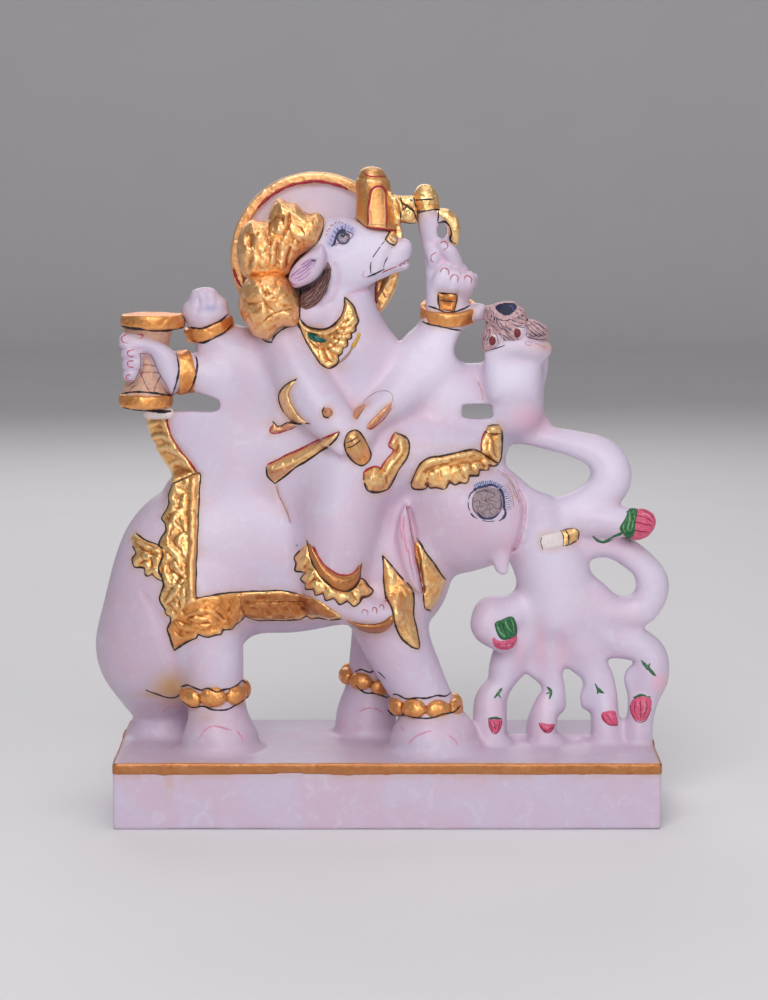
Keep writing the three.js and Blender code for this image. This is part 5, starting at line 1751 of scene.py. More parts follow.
def pink_lines():
    """Faint pink strokes on the feet, the face's wrinkles and the ear."""
    lines = [([(-89.2, 32), (-86.8, 36), (-83, 38), (-78.2, 37.8), (-73.6, 36)], 0.8),
        ([(-71.6, 36.4), (-69.2, 33.4), (-68.4, 30.6)], 0.7),
        ([(-13.8, 45), (-10, 46.8), (-5.2, 46.6), (-1.4, 44.2)], 0.7),
        ([(10.4, 29.6), (13.4, 33), (17.6, 35.2), (21.4, 36)], 0.8),
        ([(29, 34), (31.8, 32), (33.8, 28.6)], 0.8), ([(-106.2, 45), (-102.8, 47.6), (-99, 47.8)], 0.6),
        stroke([(6.6, 37.8), (8, 36)], 0.8, taper=0.35),
        ([(54.4, 160.8), (59, 157.2), (62.2, 151.8), (63.4, 145.2)], 0.3),
        stroke([(-8.4, 251.2), (-10.6, 251), (-11.6, 252.4), (-10.4, 253.8)], 0.3, taper=0.35),
        ([(62.8, 150.4), (65, 143.2), (64, 132.4), (61, 124.8)], 0.5),
        ([(5.6, 137), (4.2, 131.4), (3.8, 124.8)], 0.5), ([(8, 139), (8, 130.4), (9.4, 121.8)], 0.6),
        ([(6.6, 140.8), (6.2, 134.2), (7, 127.6)], 0.4),
        ([(9.8, 123.8), (11.4, 115.2), (13.2, 106.6)], 0.5),
        ([(10.8, 127.6), (12.8, 118), (15, 107.6)], 0.5)]
    tan = [([(51.6, 160.8), (56.2, 158), (59.6, 153.2), (61, 147)], 0.3),
        ([(53.4, 158.8), (57.6, 155.6), (60.4, 150.8), (62, 145.2)], 0.3),
        ([(55.8, 154.2), (58, 151.2), (59.2, 147), (59.2, 142.8)], 0.35),
        ([(56.8, 155.6), (59.2, 151.8), (60.6, 146.6)], 0.3),
        ([(-11.6, 191.4), (-9.8, 194.2), (-5.6, 197), (-0.4, 198.2), (2.4, 196), (2.8, 192.8)], 0.28)]
    painted("wrinkles", tan, ochre_paint, taper=0.2)
    painted("pink_lines", lines, pink_paint, taper=0.2)


def rider_eye():
    """The painted eye: white, iris, pupil, dark lids, a crease above and blue shading strokes."""
    white = cornered([(-25.8, 265.6), (-24.4, 267.4), (-23.4, 269.8), (-21.8, 272.4), (-20, 272.8),
        (-18, 272.2), (-15.6, 271)],
        [(-16.6, 269.4), (-18, 267.2), (-20, 266.2), (-22.6, 266), (-25.8, 265.6)])
    film("eye_white", white, eye_white, 0.2, cell=0.25)
    centre = (-20.2, 269.4)

    def ray(angle, near, far, middle=centre):
        a = math.radians(angle)
        return [(middle[0] + r * math.cos(a), middle[1] + r * math.sin(a)) for r in (near, far)]

    film("iris", disc_outline(centre, 2.9, 1.04), iris_paint, 0.32, cell=0.22)
    film("pupil", disc_outline((centre[0] - 0.3, centre[1] + 1.0), 1.35, 0.9), black_paint, 0.42,
        cell=0.2)
    # Pale rays in the iris's lower part and pale strokes at the pupil: painted highlights
    painted("iris_rays", [(ray(a, 0.5, 2.2), 0.22) for a in range(-150, 30, 22)], pad_paint)
    gleam = (centre[0] - 0.3, centre[1] + 0.8)
    painted("iris_gleam", [(ray(a, 0.4, 1.3, gleam), 0.2) for a in (60, 95, 130)], shade_paint)
    turn = np.linspace(-3.5, 0.7, 20)
    edge = [(centre[0] + 2.9 * math.cos(a), centre[1] + 3.0 * math.sin(a)) for a in turn]
    # The iris's dark rim, and a dark crescent over its top that is painted shade under the lid
    ring = [stroke(edge, 0.75, taper=0.8),
        stroke([(-23, 269.6), (-22.4, 271.2), (-20.8, 272.2), (-19.2, 271.4), (-18, 270)], 1.5,
            taper=0.5)]
    painted("eye_lids_and_shade",
        ring + [stroke(
            [(-26, 265.4), (-24.6, 266.8), (-23.6, 269.6), (-22.8, 271.4), (-20.8, 273), (-19.2, 272.2)],
            1.15, taper=0.5), ([(-19, 272.2), (-17.6, 271.8), (-15.4, 270.8)], 0.6),
            ([(-21, 272.8), (-20.6, 274.8)], 0.4), ([(-19.6, 272.6), (-19.2, 274.2)], 0.35),
            ([(-22.4, 271.6), (-23.4, 273.4)], 0.35)], navy_paint)
    painted("eye_corners",
        [([(-24.8, 266), (-22.8, 265.8), (-20.6, 266)], 0.5),
            ([(-17.6, 268), (-16.4, 269.6), (-15.4, 270.8)], 0.35),
            ([(-25.4, 266), (-23.4, 266.6), (-21.8, 266.6)], 0.3)], plum_paint)
    lid = curve(
        [(-26, 266.2), (-24.6, 268.8), (-23, 271.6), (-20.8, 273.6), (-18.6, 273), (-16.4, 272.2)], 5)
    above = curve(
        [(-27.2, 266.8), (-26.4, 270), (-24.4, 273.2), (-21.4, 274.8), (-18.2, 274.6), (-16, 273.4)], 5)
    haze = [([a, b], 0.36) for a, b in zip(lid[::3], above[::3])]
    painted("eye_shading", haze, lash_paint, taper=0.2)
    brow = curve([(-28.2, 270.6), (-27.6, 272.8), (-26.2, 274.6), (-23.8, 275.8), (-21.4, 275.8),
        (-18.6, 275.2), (-16.2, 273.6)], 5)
    dots = [([p, p + (0.5, 0.7)], 0.6) for p in brow[::3]]
    painted("brow_dots", dots, plum_paint, wander=0.3)


def disc_outline(centre, radius, squeeze=1.0):
    turn = np.radians(np.arange(0, 360, 20))
    ring = np.stack([centre[0] + radius * np.cos(turn), centre[1] + radius * squeeze * np.sin(turn)], 1)
    return Outline(ring, closed=True, margin=3.0)


def elephant_eye():
    """The elephant's big grey eye, its blue ring and the fan of lashes."""
    rim = Outline([(39.8, 145.6), (40.6, 149.4), (43.2, 152), (47.4, 152.8), (51.4, 152), (54, 149.2),
        (54.8, 145.2), (53.8, 141.4), (51.2, 138.6), (47, 137.8), (42.8, 138.6), (40.4, 141.6)],
        closed=True)
    film("elephant_iris", rim, grey_paint, 0.5, cell=0.3, edge=1.4)
    lines = [stroke([(40.8, 151.2), (42.8, 152.6), (45, 153), (47.8, 153.6), (50.2, 153.4), (52.8, 151.8),
        (54.4, 148.8), (55, 144.8), (55.2, 141.6)], 1.65, taper=0.6),
        stroke([(55.4, 142.8), (55.6, 140.2), (54.6, 138.2), (52.6, 136.6)], 1.2, taper=0.3),
        stroke([(42.2, 141.4), (43.2, 139.6), (44.8, 138.2), (47.4, 137.6), (50.2, 138.2), (52.6, 140.6)],
            1.2, taper=0.3), ([(41.2, 151.2), (39.2, 149.4), (38.4, 147)], 0.8),
        ([(38.2, 146), (38.2, 143.2), (39, 141)], 0.6),
        ([(39.2, 140.6), (40.8, 138.6), (42.8, 137.4)], 0.8),
        ([(41.8, 149.6), (45, 151), (48.8, 151.2)], 0.4),
        ([(53.2, 149), (53.8, 145.2), (53.2, 141.8)], 0.5)]
    centre = np.array((47, 145.2))

    def rays(angles, near, far, width):
        turns = [np.array([math.cos(a), math.sin(a)]) for a in np.radians(angles)]
        return [([centre + out * near, centre + out * far], width) for out in turns]

    painted("elephant_lash_light", rays(np.arange(52, 128, 5.6), 8.4, 10.4, 0.85), shade_paint, taper=0.6)
    lashes = rays(np.arange(49.2, 130, 5.6), 8.4, 10.7, 0.34)
    lashes += rays(np.arange(-18, 49, 6), 8.8, 10.8, 0.34) + rays(np.arange(-15, 49, 6), 10.9, 11.7, 0.3)
    painted("elephant_lash_fan", lashes, lash_paint, taper=0.6)
    painted("elephant_lashes", lines, navy_paint)
    painted("elephant_eye_ring",
        [([(40.6, 148), (40, 144.8), (40.6, 141.8), (42.4, 140)], 0.5),
            ([(44.6, 136.8), (48, 136.4), (50.8, 136.8)], 0.4)], dark_grey_paint)

    def crack(places):
        return [centre + r * np.array([math.cos(a), math.sin(a)]) for r, a in places], 0.24

    cracks = []
    for t in np.radians(range(10, 360, 40)):
        cracks.append(crack(((0.8, t), (2.6, t + 0.35), (4.6, t - 0.1), (6.6, t + 0.15))))
    for r, t in ((2.0, 20), (3.6, 140), (3.4, 260), (5.2, 40), (5.4, 190), (6.4, 300)):
        cracks.append(crack([(r, a) for a in np.radians(np.arange(t, t + 90, 15))]))
    painted("iris_cracks", cracks, dark_grey_paint)
    painted("iris_spot", [([(46.2, 147), (47.2, 145.8)], 0.7)], maroon_paint)


def ear_and_lock():
    """The rider's ear with its violet strokes, and the brown lock behind the cheek."""
    edge = cornered(
        [(-45.8, 250.2), (-44.8, 253.8), (-41.8, 258), (-38, 261.2), (-33.8, 263.8), (-30.2, 266.6)],
        [(-28.4, 263.2), (-28.6, 258), (-30.2, 253.8), (-33.4, 249.8), (-38.2, 247.2), (-43.2, 246.2),
            (-45.8, 250.2)])
    relief = Relief((-60, 240), (-15, 275))
    relief.stroke([(-43.6, 249.8), (-38.6, 254.4), (-33.8, 258.6)], 4.2, -1.3, 0.4)
    shell = shaped("ear", [pillow(edge, -25.8, -8.0, 3.2, 4.2)], white_marble, "marble", 0.4,
        reliefs=[(relief, (-45, -12))])
    across = spots(shell)[:, 0]
    stamp(shell, "blush_and_shade", 0.55 * smooth_step(-31, -42, across))
    lines = [([(-41.8, 252.2), (-38.6, 254.4), (-34.4, 257.6)], 0.6),
        ([(-40.4, 256.2), (-38, 258), (-35.8, 259.6)], 0.4),
        ([(-43.2, 250.2), (-39.4, 252), (-35.8, 255)], 0.45),
        ([(-44.8, 249), (-43.6, 247.6), (-41.8, 247.8)], 0.5),
        ([(-39.4, 255.4), (-36.6, 257.2), (-34.4, 259.2)], 0.4),
        ([(-44.6, 251), (-42.2, 253.4), (-40.8, 255)], 0.4),
        ([(-41.4, 249.2), (-38.2, 250.8), (-35.4, 253.6)], 0.4)]
    painted("ear_strokes", lines, violet_paint)
    painted("ear_mark", [([(-35.4, 260), (-34.2, 258.6), (-32.4, 259.6)], 0.6)], black_paint)
    lock = cornered([(-27.8, 259.4), (-26, 255.8), (-26.4, 249.8), (-28.8, 243.6), (-32, 238.8),
        (-36.2, 235.8), (-40, 236.6)],
        [(-40.2, 242.4), (-36, 245.6), (-31.8, 249.8), (-28.8, 254.4), (-27.8, 259.4)])
    shaped("brown_lock", [pillow(lock, -20.5, 2.0, 3.4, 4.0)], brown_paint, "paint", 0.4,
        rough=lumps(0.25, 2.6, 73))
    inner = np.array([(-28.8, 255.2), (-32.6, 249.8), (-36.2, 245.6), (-39.8, 241.8)])
    outer = np.array([(-26.2, 255.2), (-27.6, 246.4), (-32, 239.4), (-38.6, 236)])
    hairs = []
    for k in range(12):
        t = k / 11
        course = inner * (1 - t) + outer * t
        hairs.append((course, 0.34))
    painted("lock_strands", hairs, strand_paint, taper=0.2, wander=0.3)


def purse():
    """The open purse in the lower right hand: folded lobes, maroon dots and a dark mouth."""
    body = Outline([(45.2, 232), (45.4, 237), (48.8, 238.2), (51.2, 239.2), (55.6, 239.8), (58.8, 239.6),
        (61, 238), (64, 235.8), (65.6, 232), (66.2, 231.4), (68.4, 231.2), (71.6, 229.6), (74.2, 227.4),
        (75, 224.6), (74.6, 221.4), (71.8, 219.4), (65.2, 220), (60.2, 219.4), (55, 218.6), (49, 216.2),
        (45.2, 216.2), (44.2, 220.8), (44.8, 225.6), (46.2, 228.8)], closed=True)
    relief = Relief((40, 210), (82, 245))
    relief.dabs(1.5, ((48.4, 221.8), (4.6, 4.8), 0), ((60, 225.6), (4.0, 5.4), 0),
        ((70.4, 225.6), (5.4, 4.6), -20), ((55.8, 229.2), (7.0, 2.6), 0))
    relief.stroke([(47, 236.2), (50.8, 232.6), (55.4, 231.2), (60, 232.6), (63.8, 235.2)], 2.0, 1.2, 0.6)
    relief.dab((55.6, 236.4), (5.0, 3.0), 0, -2.4)
    for fold in ([(46.2, 230.2), (50, 227.4), (52.6, 224.4), (55.4, 220.8)],
            [(65.2, 231.6), (64.8, 226.4), (65.4, 222.2)]):
        relief.stroke(fold, 1.4, -1.3, 0.4)
    shaped("purse", [pillow(body, -21.5, 6.0, 6.0, 8.0)], purse_cloth, "paint", 0.4,
        reliefs=[(relief, (-40, 0))], rough=lumps(0.3, 3.0, 71))
    cloth = carved[-1:]
    hollow = Outline([(50.2, 236.6), (51.4, 238.4), (55.6, 239.2), (59.2, 239.2), (60.6, 237),
        (58.4, 234.2), (55.6, 233), (52.6, 234.2)], closed=True)
    film("purse_mouth", hollow, mouth_paint, 0.3, over=cloth, cell=0.3)
    for spot, tag in (((49.2, 221.4), "left"), ((60.8, 225), "right")):
        film("purse_pad_" + tag, disc_outline((spot[0] + 2.2, spot[1] + 0.2), 3.3, 1.0), pad_paint, 0.25,
            over=cloth, cell=0.28)
        film("purse_dot_" + tag, disc_outline(spot, 1.75, 1.36), maroon_paint, 0.4, (-24.0, 10.0), 0.25,
            cloth)
    lines = [(f, 0.42) for f in ([(50.4, 232.8), (52.2, 231.6), (54.6, 230.8), (57.8, 231.4)],
        [(46.2, 230.2), (50, 227.4), (52.6, 224.4), (55.2, 221.4)],
        [(59.8, 234.6), (62.4, 233.6), (64.8, 232.4)], [(59.2, 233), (62, 231.8), (65, 230.6)],
        [(58.2, 231.2), (61.4, 229.8), (64.8, 229.2)], [(58.6, 229.4), (61.4, 227.8), (64.2, 227.6)],
        [(60.4, 236.2), (62.8, 235.2), (64.4, 234.4)], [(46, 236.2), (47, 233.4), (46.4, 230.2)],
        [(47.4, 237.4), (48.6, 234.4), (48, 231.2)], [(49.2, 236.2), (50, 233), (49.6, 229.8)],
        [(50.8, 231.8), (51.6, 228.8), (54, 226.4)], [(46, 228.4), (46.6, 225), (45.2, 221.8)],
        [(47.4, 227), (48, 224.6), (46.6, 221.4)], [(45.4, 225), (44.6, 221.4), (45.2, 217.6)],
        [(53, 229.8), (54.4, 227), (56.8, 225)], [(55, 229.8), (56.8, 227), (58.2, 226.4)],
        [(54, 224.2), (56, 222.8), (57.8, 221.4)], [(55.4, 225), (57.2, 223.2), (59.2, 221.4)],
        [(66.6, 230.4), (69.4, 227.8), (73.6, 224.6)], [(68, 230.6), (71.2, 228.4), (74, 225.6)],
        [(66, 229.2), (68.4, 226.4), (72.6, 223.6)], [(65.8, 227.4), (68, 225), (71.2, 223.2)],
        [(69.8, 229.8), (72.2, 227.8), (74.2, 226.4)], [(65.8, 225.2), (67.6, 223.6), (69.4, 223)],
        [(65.4, 223.4), (68.4, 222.4), (71.8, 221.8), (74.6, 222.6)],
        [(68.8, 223.8), (71.2, 223.8), (74.4, 224.8)], [(65.2, 231.2), (65, 227.4), (65.2, 223.6)],
        [(45.6, 216.6), (49.8, 217.6), (55, 219.4)])]
    painted("purse_glint", [([(56.8, 238.2), (58.2, 237.2), (59, 235.2)], 0.9)], lash_paint)
    painted("purse_lines", lines, navy_paint)
    painted("purse_rust_lines",
        [(f, 0.4) for f in ([(49.4, 226.4), (51.2, 223.6), (51.8, 220)],
            [(51.6, 231.2), (53.6, 228.4), (56.4, 227.8)], [(66.6, 226.4), (69.8, 224.6), (73.2, 223.2)],
            [(67, 229.2), (70.4, 226.4), (73.6, 223.8)], [(57.2, 230.2), (60, 228.8), (62.8, 228.4)],
            [(46.6, 232.6), (48.4, 230.6), (50.8, 229.2)])], brown_paint)


def flowers():
    """The lotus buds that the trunks hold, with green sepals and stems."""
    petals = {"bud_curl": [(50, 81.2), (50.6, 77), (54.4, 75), (59.2, 75.8), (61.4, 79.2), (61.2, 82.4),
        (57.2, 79.8), (53, 79.4)],
        "bud_first": [(48, 41.4), (54.4, 41.4), (54.2, 37.8), (52.2, 34.6), (49.4, 36.4), (48, 41.4)],
        "bud_second": [(72.2, 39.8), (76.8, 39.2), (79.2, 39.4), (78.6, 36.8), (76.2, 35.2),
            (73.2, 36.8)],
        "bud_third": [(101.6, 44.2), (103.8, 45.4), (108, 45.6), (109.2, 42.2), (109.6, 38.6),
            (105.4, 38.8), (102.4, 40.8)],
        "bud_outermost": [(116.2, 50.8), (119.8, 52.6), (125, 51.6), (125.2, 46.6), (122.4, 41.6),
            (119, 40.8), (115.8, 44.6), (115.4, 48)]}
    shaped("bud_upper",
        [ball((118.2, -7, 136.2), (6.8, 6.4, 7.4), 30), ball((115.6, -7, 133.8), (5, 5.6, 5)),
            ball((122, -7, 137.6), (3.4, 4, 3.6))], petal_paint, "paint", 0.4, 2.0,
        rough=lumps(0.2, 2.4, 91))
    for name, ring in petals.items():
        relief = Relief((42, 20), (138, 150))
        c = np.mean(ring, axis=0)
        tip = np.array(ring[4])
        relief.stroke([tuple(c + (c - tip) * 0.7), tuple(c), tuple(tip)], 2.2, 0.5, 0.4)
        film(name, Outline(ring, closed=True), petal_paint, 0.7, cell=0.35, relief=relief, edge=1.2)
    leaves = {"sepal_upper": [(114.4, 143), (117.6, 142.8), (117.4, 139), (116.8, 134.6), (116.4, 130.4),
        (113.8, 128), (111, 130.4), (109.4, 133.2), (111.8, 137.6), (113, 140.8)],
        "sepal_curl": [(51, 88), (53.8, 89.4), (57.6, 91), (59.4, 90.6), (61.2, 87), (61.4, 82.6),
            (58.6, 80.8), (54.8, 80), (52, 83.2)]}
    latest = 9
    for name, ring in leaves.items():
        film(name, Outline(ring, closed=True), green_paint, 0.75, over=carved[-latest:], cell=0.35,
            edge=1.0)
    greens = [stroke(
        [(96.8, 129.6), (99.2, 127.2), (102.6, 126.8), (106.2, 128.8), (110, 130.8), (111.8, 133.2)], 1.4,
        taper=0.1), stroke([(110.4, 131.8), (113.4, 129.4), (114.8, 127)], 1.2, taper=0.2),
        stroke([(112.2, 140.8), (115, 142.4), (118.8, 142.8)], 0.9, taper=0.2),
        stroke([(54.4, 56.6), (52.6, 53.8), (50.8, 51.8)], 1.4, taper=0.1),
        ([(53, 53.8), (54, 51.8)], 0.9),
        stroke([(75.8, 57.4), (77.8, 54.8), (76.8, 51.2)], 1.3, taper=0.1),
        ([(77.8, 54.8), (75.4, 53.8)], 0.8),
        stroke([(98.6, 59), (100.4, 55.8), (102.8, 54.2)], 1.6, taper=0.1),
        ([(100.4, 55.8), (99.6, 54)], 0.9),
        stroke([(120.2, 70.2), (123, 66.8), (125.4, 64.4), (127.4, 62.4)], 1.4, taper=0.1),
        ([(123.6, 66.4), (124.4, 68.8)], 0.8),
        stroke([(48, 41.8), (51.2, 42.2), (54.6, 41.8)], 1.1, taper=0.3),
        stroke([(116.6, 52), (120.4, 53.2), (125, 52.2)], 1.2, taper=0.3)]
    painted("green_strokes", greens, green_paint, 1.4)
    # Lighter green strokes on the sepals and stems: painted highlights
    light = [([(52.4, 86.4), (53.4, 83.6), (55.8, 81.2)], 1.2),
        ([(55.8, 89.4), (56.6, 86.4), (58.6, 84)], 1.4), ([(58.6, 89.8), (59.6, 87), (60, 84)], 0.8),
        ([(113.6, 140.8), (114.2, 137), (112.8, 132.4)], 1.2),
        ([(115.8, 141.8), (116, 137.6), (115, 131.8)], 1.0),
        ([(111.6, 135.6), (111.2, 132.8), (112.4, 130.4)], 0.8), ([(112.4, 133.2), (114.2, 131.8)], 0.7),
        ([(98.8, 128.2), (101.6, 127.2), (104.8, 128.6)], 0.5), ([(53.6, 55.8), (52.2, 53.4)], 0.6),
        ([(122, 68.2), (124.4, 65.8)], 0.7)]
    painted("leaf_light_strokes", light, lime_paint)
    deep = [([(51, 88), (52, 83.2), (54.8, 80), (58.6, 80.8), (61.2, 82.6)], 0.6),
        ([(54.8, 88.4), (55.2, 84.6), (57.2, 81.6)], 0.5), ([(53.8, 89.4), (53, 86), (53.4, 82.6)], 0.45),
        ([(59.4, 90.6), (61.2, 87), (61.4, 82.6)], 0.4),
        ([(116.4, 142.2), (115.6, 139), (116, 135.6), (115.2, 130.4)], 0.6),
        ([(113.2, 140.8), (114.6, 139)], 0.4),
        ([(96.8, 129.6), (99.2, 126.8), (103, 126.4), (106.8, 128.2)], 0.35),
        ([(123.6, 65.8), (126.4, 62.6)], 0.6), ([(48, 41.8), (51.2, 42.2), (54.6, 41.8)], 0.5),
        ([(116.6, 52), (120.4, 53), (124.6, 52)], 0.5)]
    painted("leaf_dark_strokes", deep, fir_paint)
    veins = [([(117.4, 139.4), (121.2, 138.4), (124.6, 136.2)], 0.6),
        ([(116.6, 136.2), (120.8, 135.2), (124.8, 134.4)], 0.6),
        ([(116.2, 132.4), (119.8, 131.6), (123.2, 131.4)], 0.6),
        ([(118.8, 142), (122.6, 140.8), (125, 138)], 0.5),
        ([(50.8, 40.8), (51.2, 38.4), (51.6, 36)], 0.5),
        ([(48.8, 40.8), (49.6, 38.4), (50.8, 36.4)], 0.35),
        ([(53.6, 40.8), (53.2, 38.4), (52.2, 36.4)], 0.35),
        ([(103.8, 44.6), (105.8, 41.8), (107.8, 39.2)], 0.45),
        ([(101.8, 43.8), (103.4, 40.8), (105.4, 38.8), (109.6, 38.6)], 0.6),
        ([(120, 51.4), (120.4, 46.6), (120, 42.2)], 0.5),
        ([(117.6, 50.4), (117.2, 46.6), (118.6, 43.2)], 0.4),
        ([(122.8, 50.8), (123.2, 46.6), (121.4, 42.6)], 0.4), ([(52.4, 78.4), (53.4, 76)], 0.4),
        ([(56.2, 78.8), (56.2, 75.4)], 0.4), ([(59, 79.8), (59.6, 76.8)], 0.4),
        ([(73, 38.8), (75.4, 36), (78.4, 37.8)], 0.45),
        ([(48, 41.4), (48.8, 37.4), (51.2, 34.4), (53.6, 37.4), (54.6, 41.2)], 0.5),
        ([(72.2, 39.8), (73.6, 36.4), (76.2, 35), (78.8, 36.6), (79.6, 39.2)], 0.5),
        ([(115.2, 48.4), (115.8, 44.2), (119, 40.4), (122.6, 41.2), (125.4, 46.6)], 0.5)]
    painted("petal_veins", veins, crimson_paint)
    # Pale pink strokes on the buds: painted highlights
    shine = [([(119.8, 140.6), (122.6, 139.6), (124.4, 138)], 0.9), ([(50.2, 40.2), (50.6, 37.8)], 0.7),
        ([(74.6, 38.8), (76.4, 37.4)], 0.8), ([(105.2, 44.4), (107.2, 41.8)], 0.8),
        ([(121.6, 50.8), (122.2, 47), (121.4, 44.2)], 0.8), ([(118.8, 50), (118.8, 47)], 0.6),
        ([(53.4, 77.4), (56.2, 76.8), (58.6, 77.8)], 0.8)]
    painted("petal_light", shine, pink_paint)


def gems_and_marks():
    """The green stone on the collar, the yellow neck thread, the drum's strings and a few stray marks."""
    gem = Outline([(-37.6, 225.2), (-35, 224.8), (-31.2, 223.4), (-28.2, 221.8), (-28.8, 220.6),
        (-32.2, 220.6), (-35.8, 222), (-37.6, 225.2)])
    film("collar_stone", gem, teal_paint, 0.5, over=carved[1:], cell=0.25, edge=0.6)
    painted("yellow_thread",
        [stroke([(-12.8, 225), (-13.6, 222.8), (-15, 220.4), (-16.2, 218.2)], 2.0, taper=0.7, lift=0.5,
            ease=12)], yellow_paint)
    painted("thread_end",
        [stroke([(-16, 218.6), (-18.2, 215.2), (-22, 211)], 1.1, taper=0.3, lift=0.5, ease=12)],
        ochre_paint)
    strings = [([(-115.6, 215.4), (-112.4, 215.6), (-110, 214.8)], 0.45),
        ([(-110, 214.8), (-106, 205.8), (-101.2, 197)], 0.5),
        ([(-115.2, 215.2), (-114.8, 211.6), (-115.2, 207.8), (-118.6, 202.2), (-121.8, 199.8)], 0.45),
        ([(-114.8, 209.8), (-111.4, 210.2), (-107.8, 209.6)], 0.35),
        ([(-115.2, 206.6), (-110.6, 206.8), (-106, 206.2)], 0.4),
        ([(-114.8, 206.4), (-113, 201.2), (-110.6, 197.4)], 0.5),
        ([(-105.4, 205.4), (-107.8, 201.2), (-108.8, 197.4)], 0.5),
        ([(-116.8, 200.8), (-119, 199.4), (-120.4, 197.6)], 0.4)]
    painted("drum_strings", strings, brown_paint)
    painted("blue_marks",
        [([(10.6, 287.2), (11.8, 286.2)], 1.2), ([(-42.8, 125.2), (-41.8, 124.8)], 0.7),
            ([(-89.4, 206.4), (-89, 204.4)], 0.7)], blue_paint)
    painted("goad_eye", [([(8.8, 281.2), (9.8, 282), (10.6, 281.2), (10, 280.2)], 0.5)], black_paint)
    painted("soft_lines",
        [stroke([(-51.8, 153.4), (-50.6, 148.4), (-47.2, 141.8), (-45.4, 135.2)], 0.75, taper=0.2,
            lift=0.35), stroke([(42.4, 202.2), (44, 198), (45, 193.2)], 0.4, taper=0.2, lift=0.35)],
        ochre_paint)
    painted("hand_lines",
        [([(67.6, 220.6), (65.6, 221.4), (64.2, 220.4), (65.6, 219.2), (67.6, 219.6)], 0.4),
            ([(68.6, 220.4), (71.8, 219.2), (74.6, 217.8)], 0.4)], pink_paint)
    painted("tusk_stripes",
        [([(0.2, 268.6), (1.6, 267.4), (3.2, 266.4)], 0.7),
            ([(1.2, 270.4), (2.6, 269), (4.2, 268.4)], 0.8)], ivory_paint)


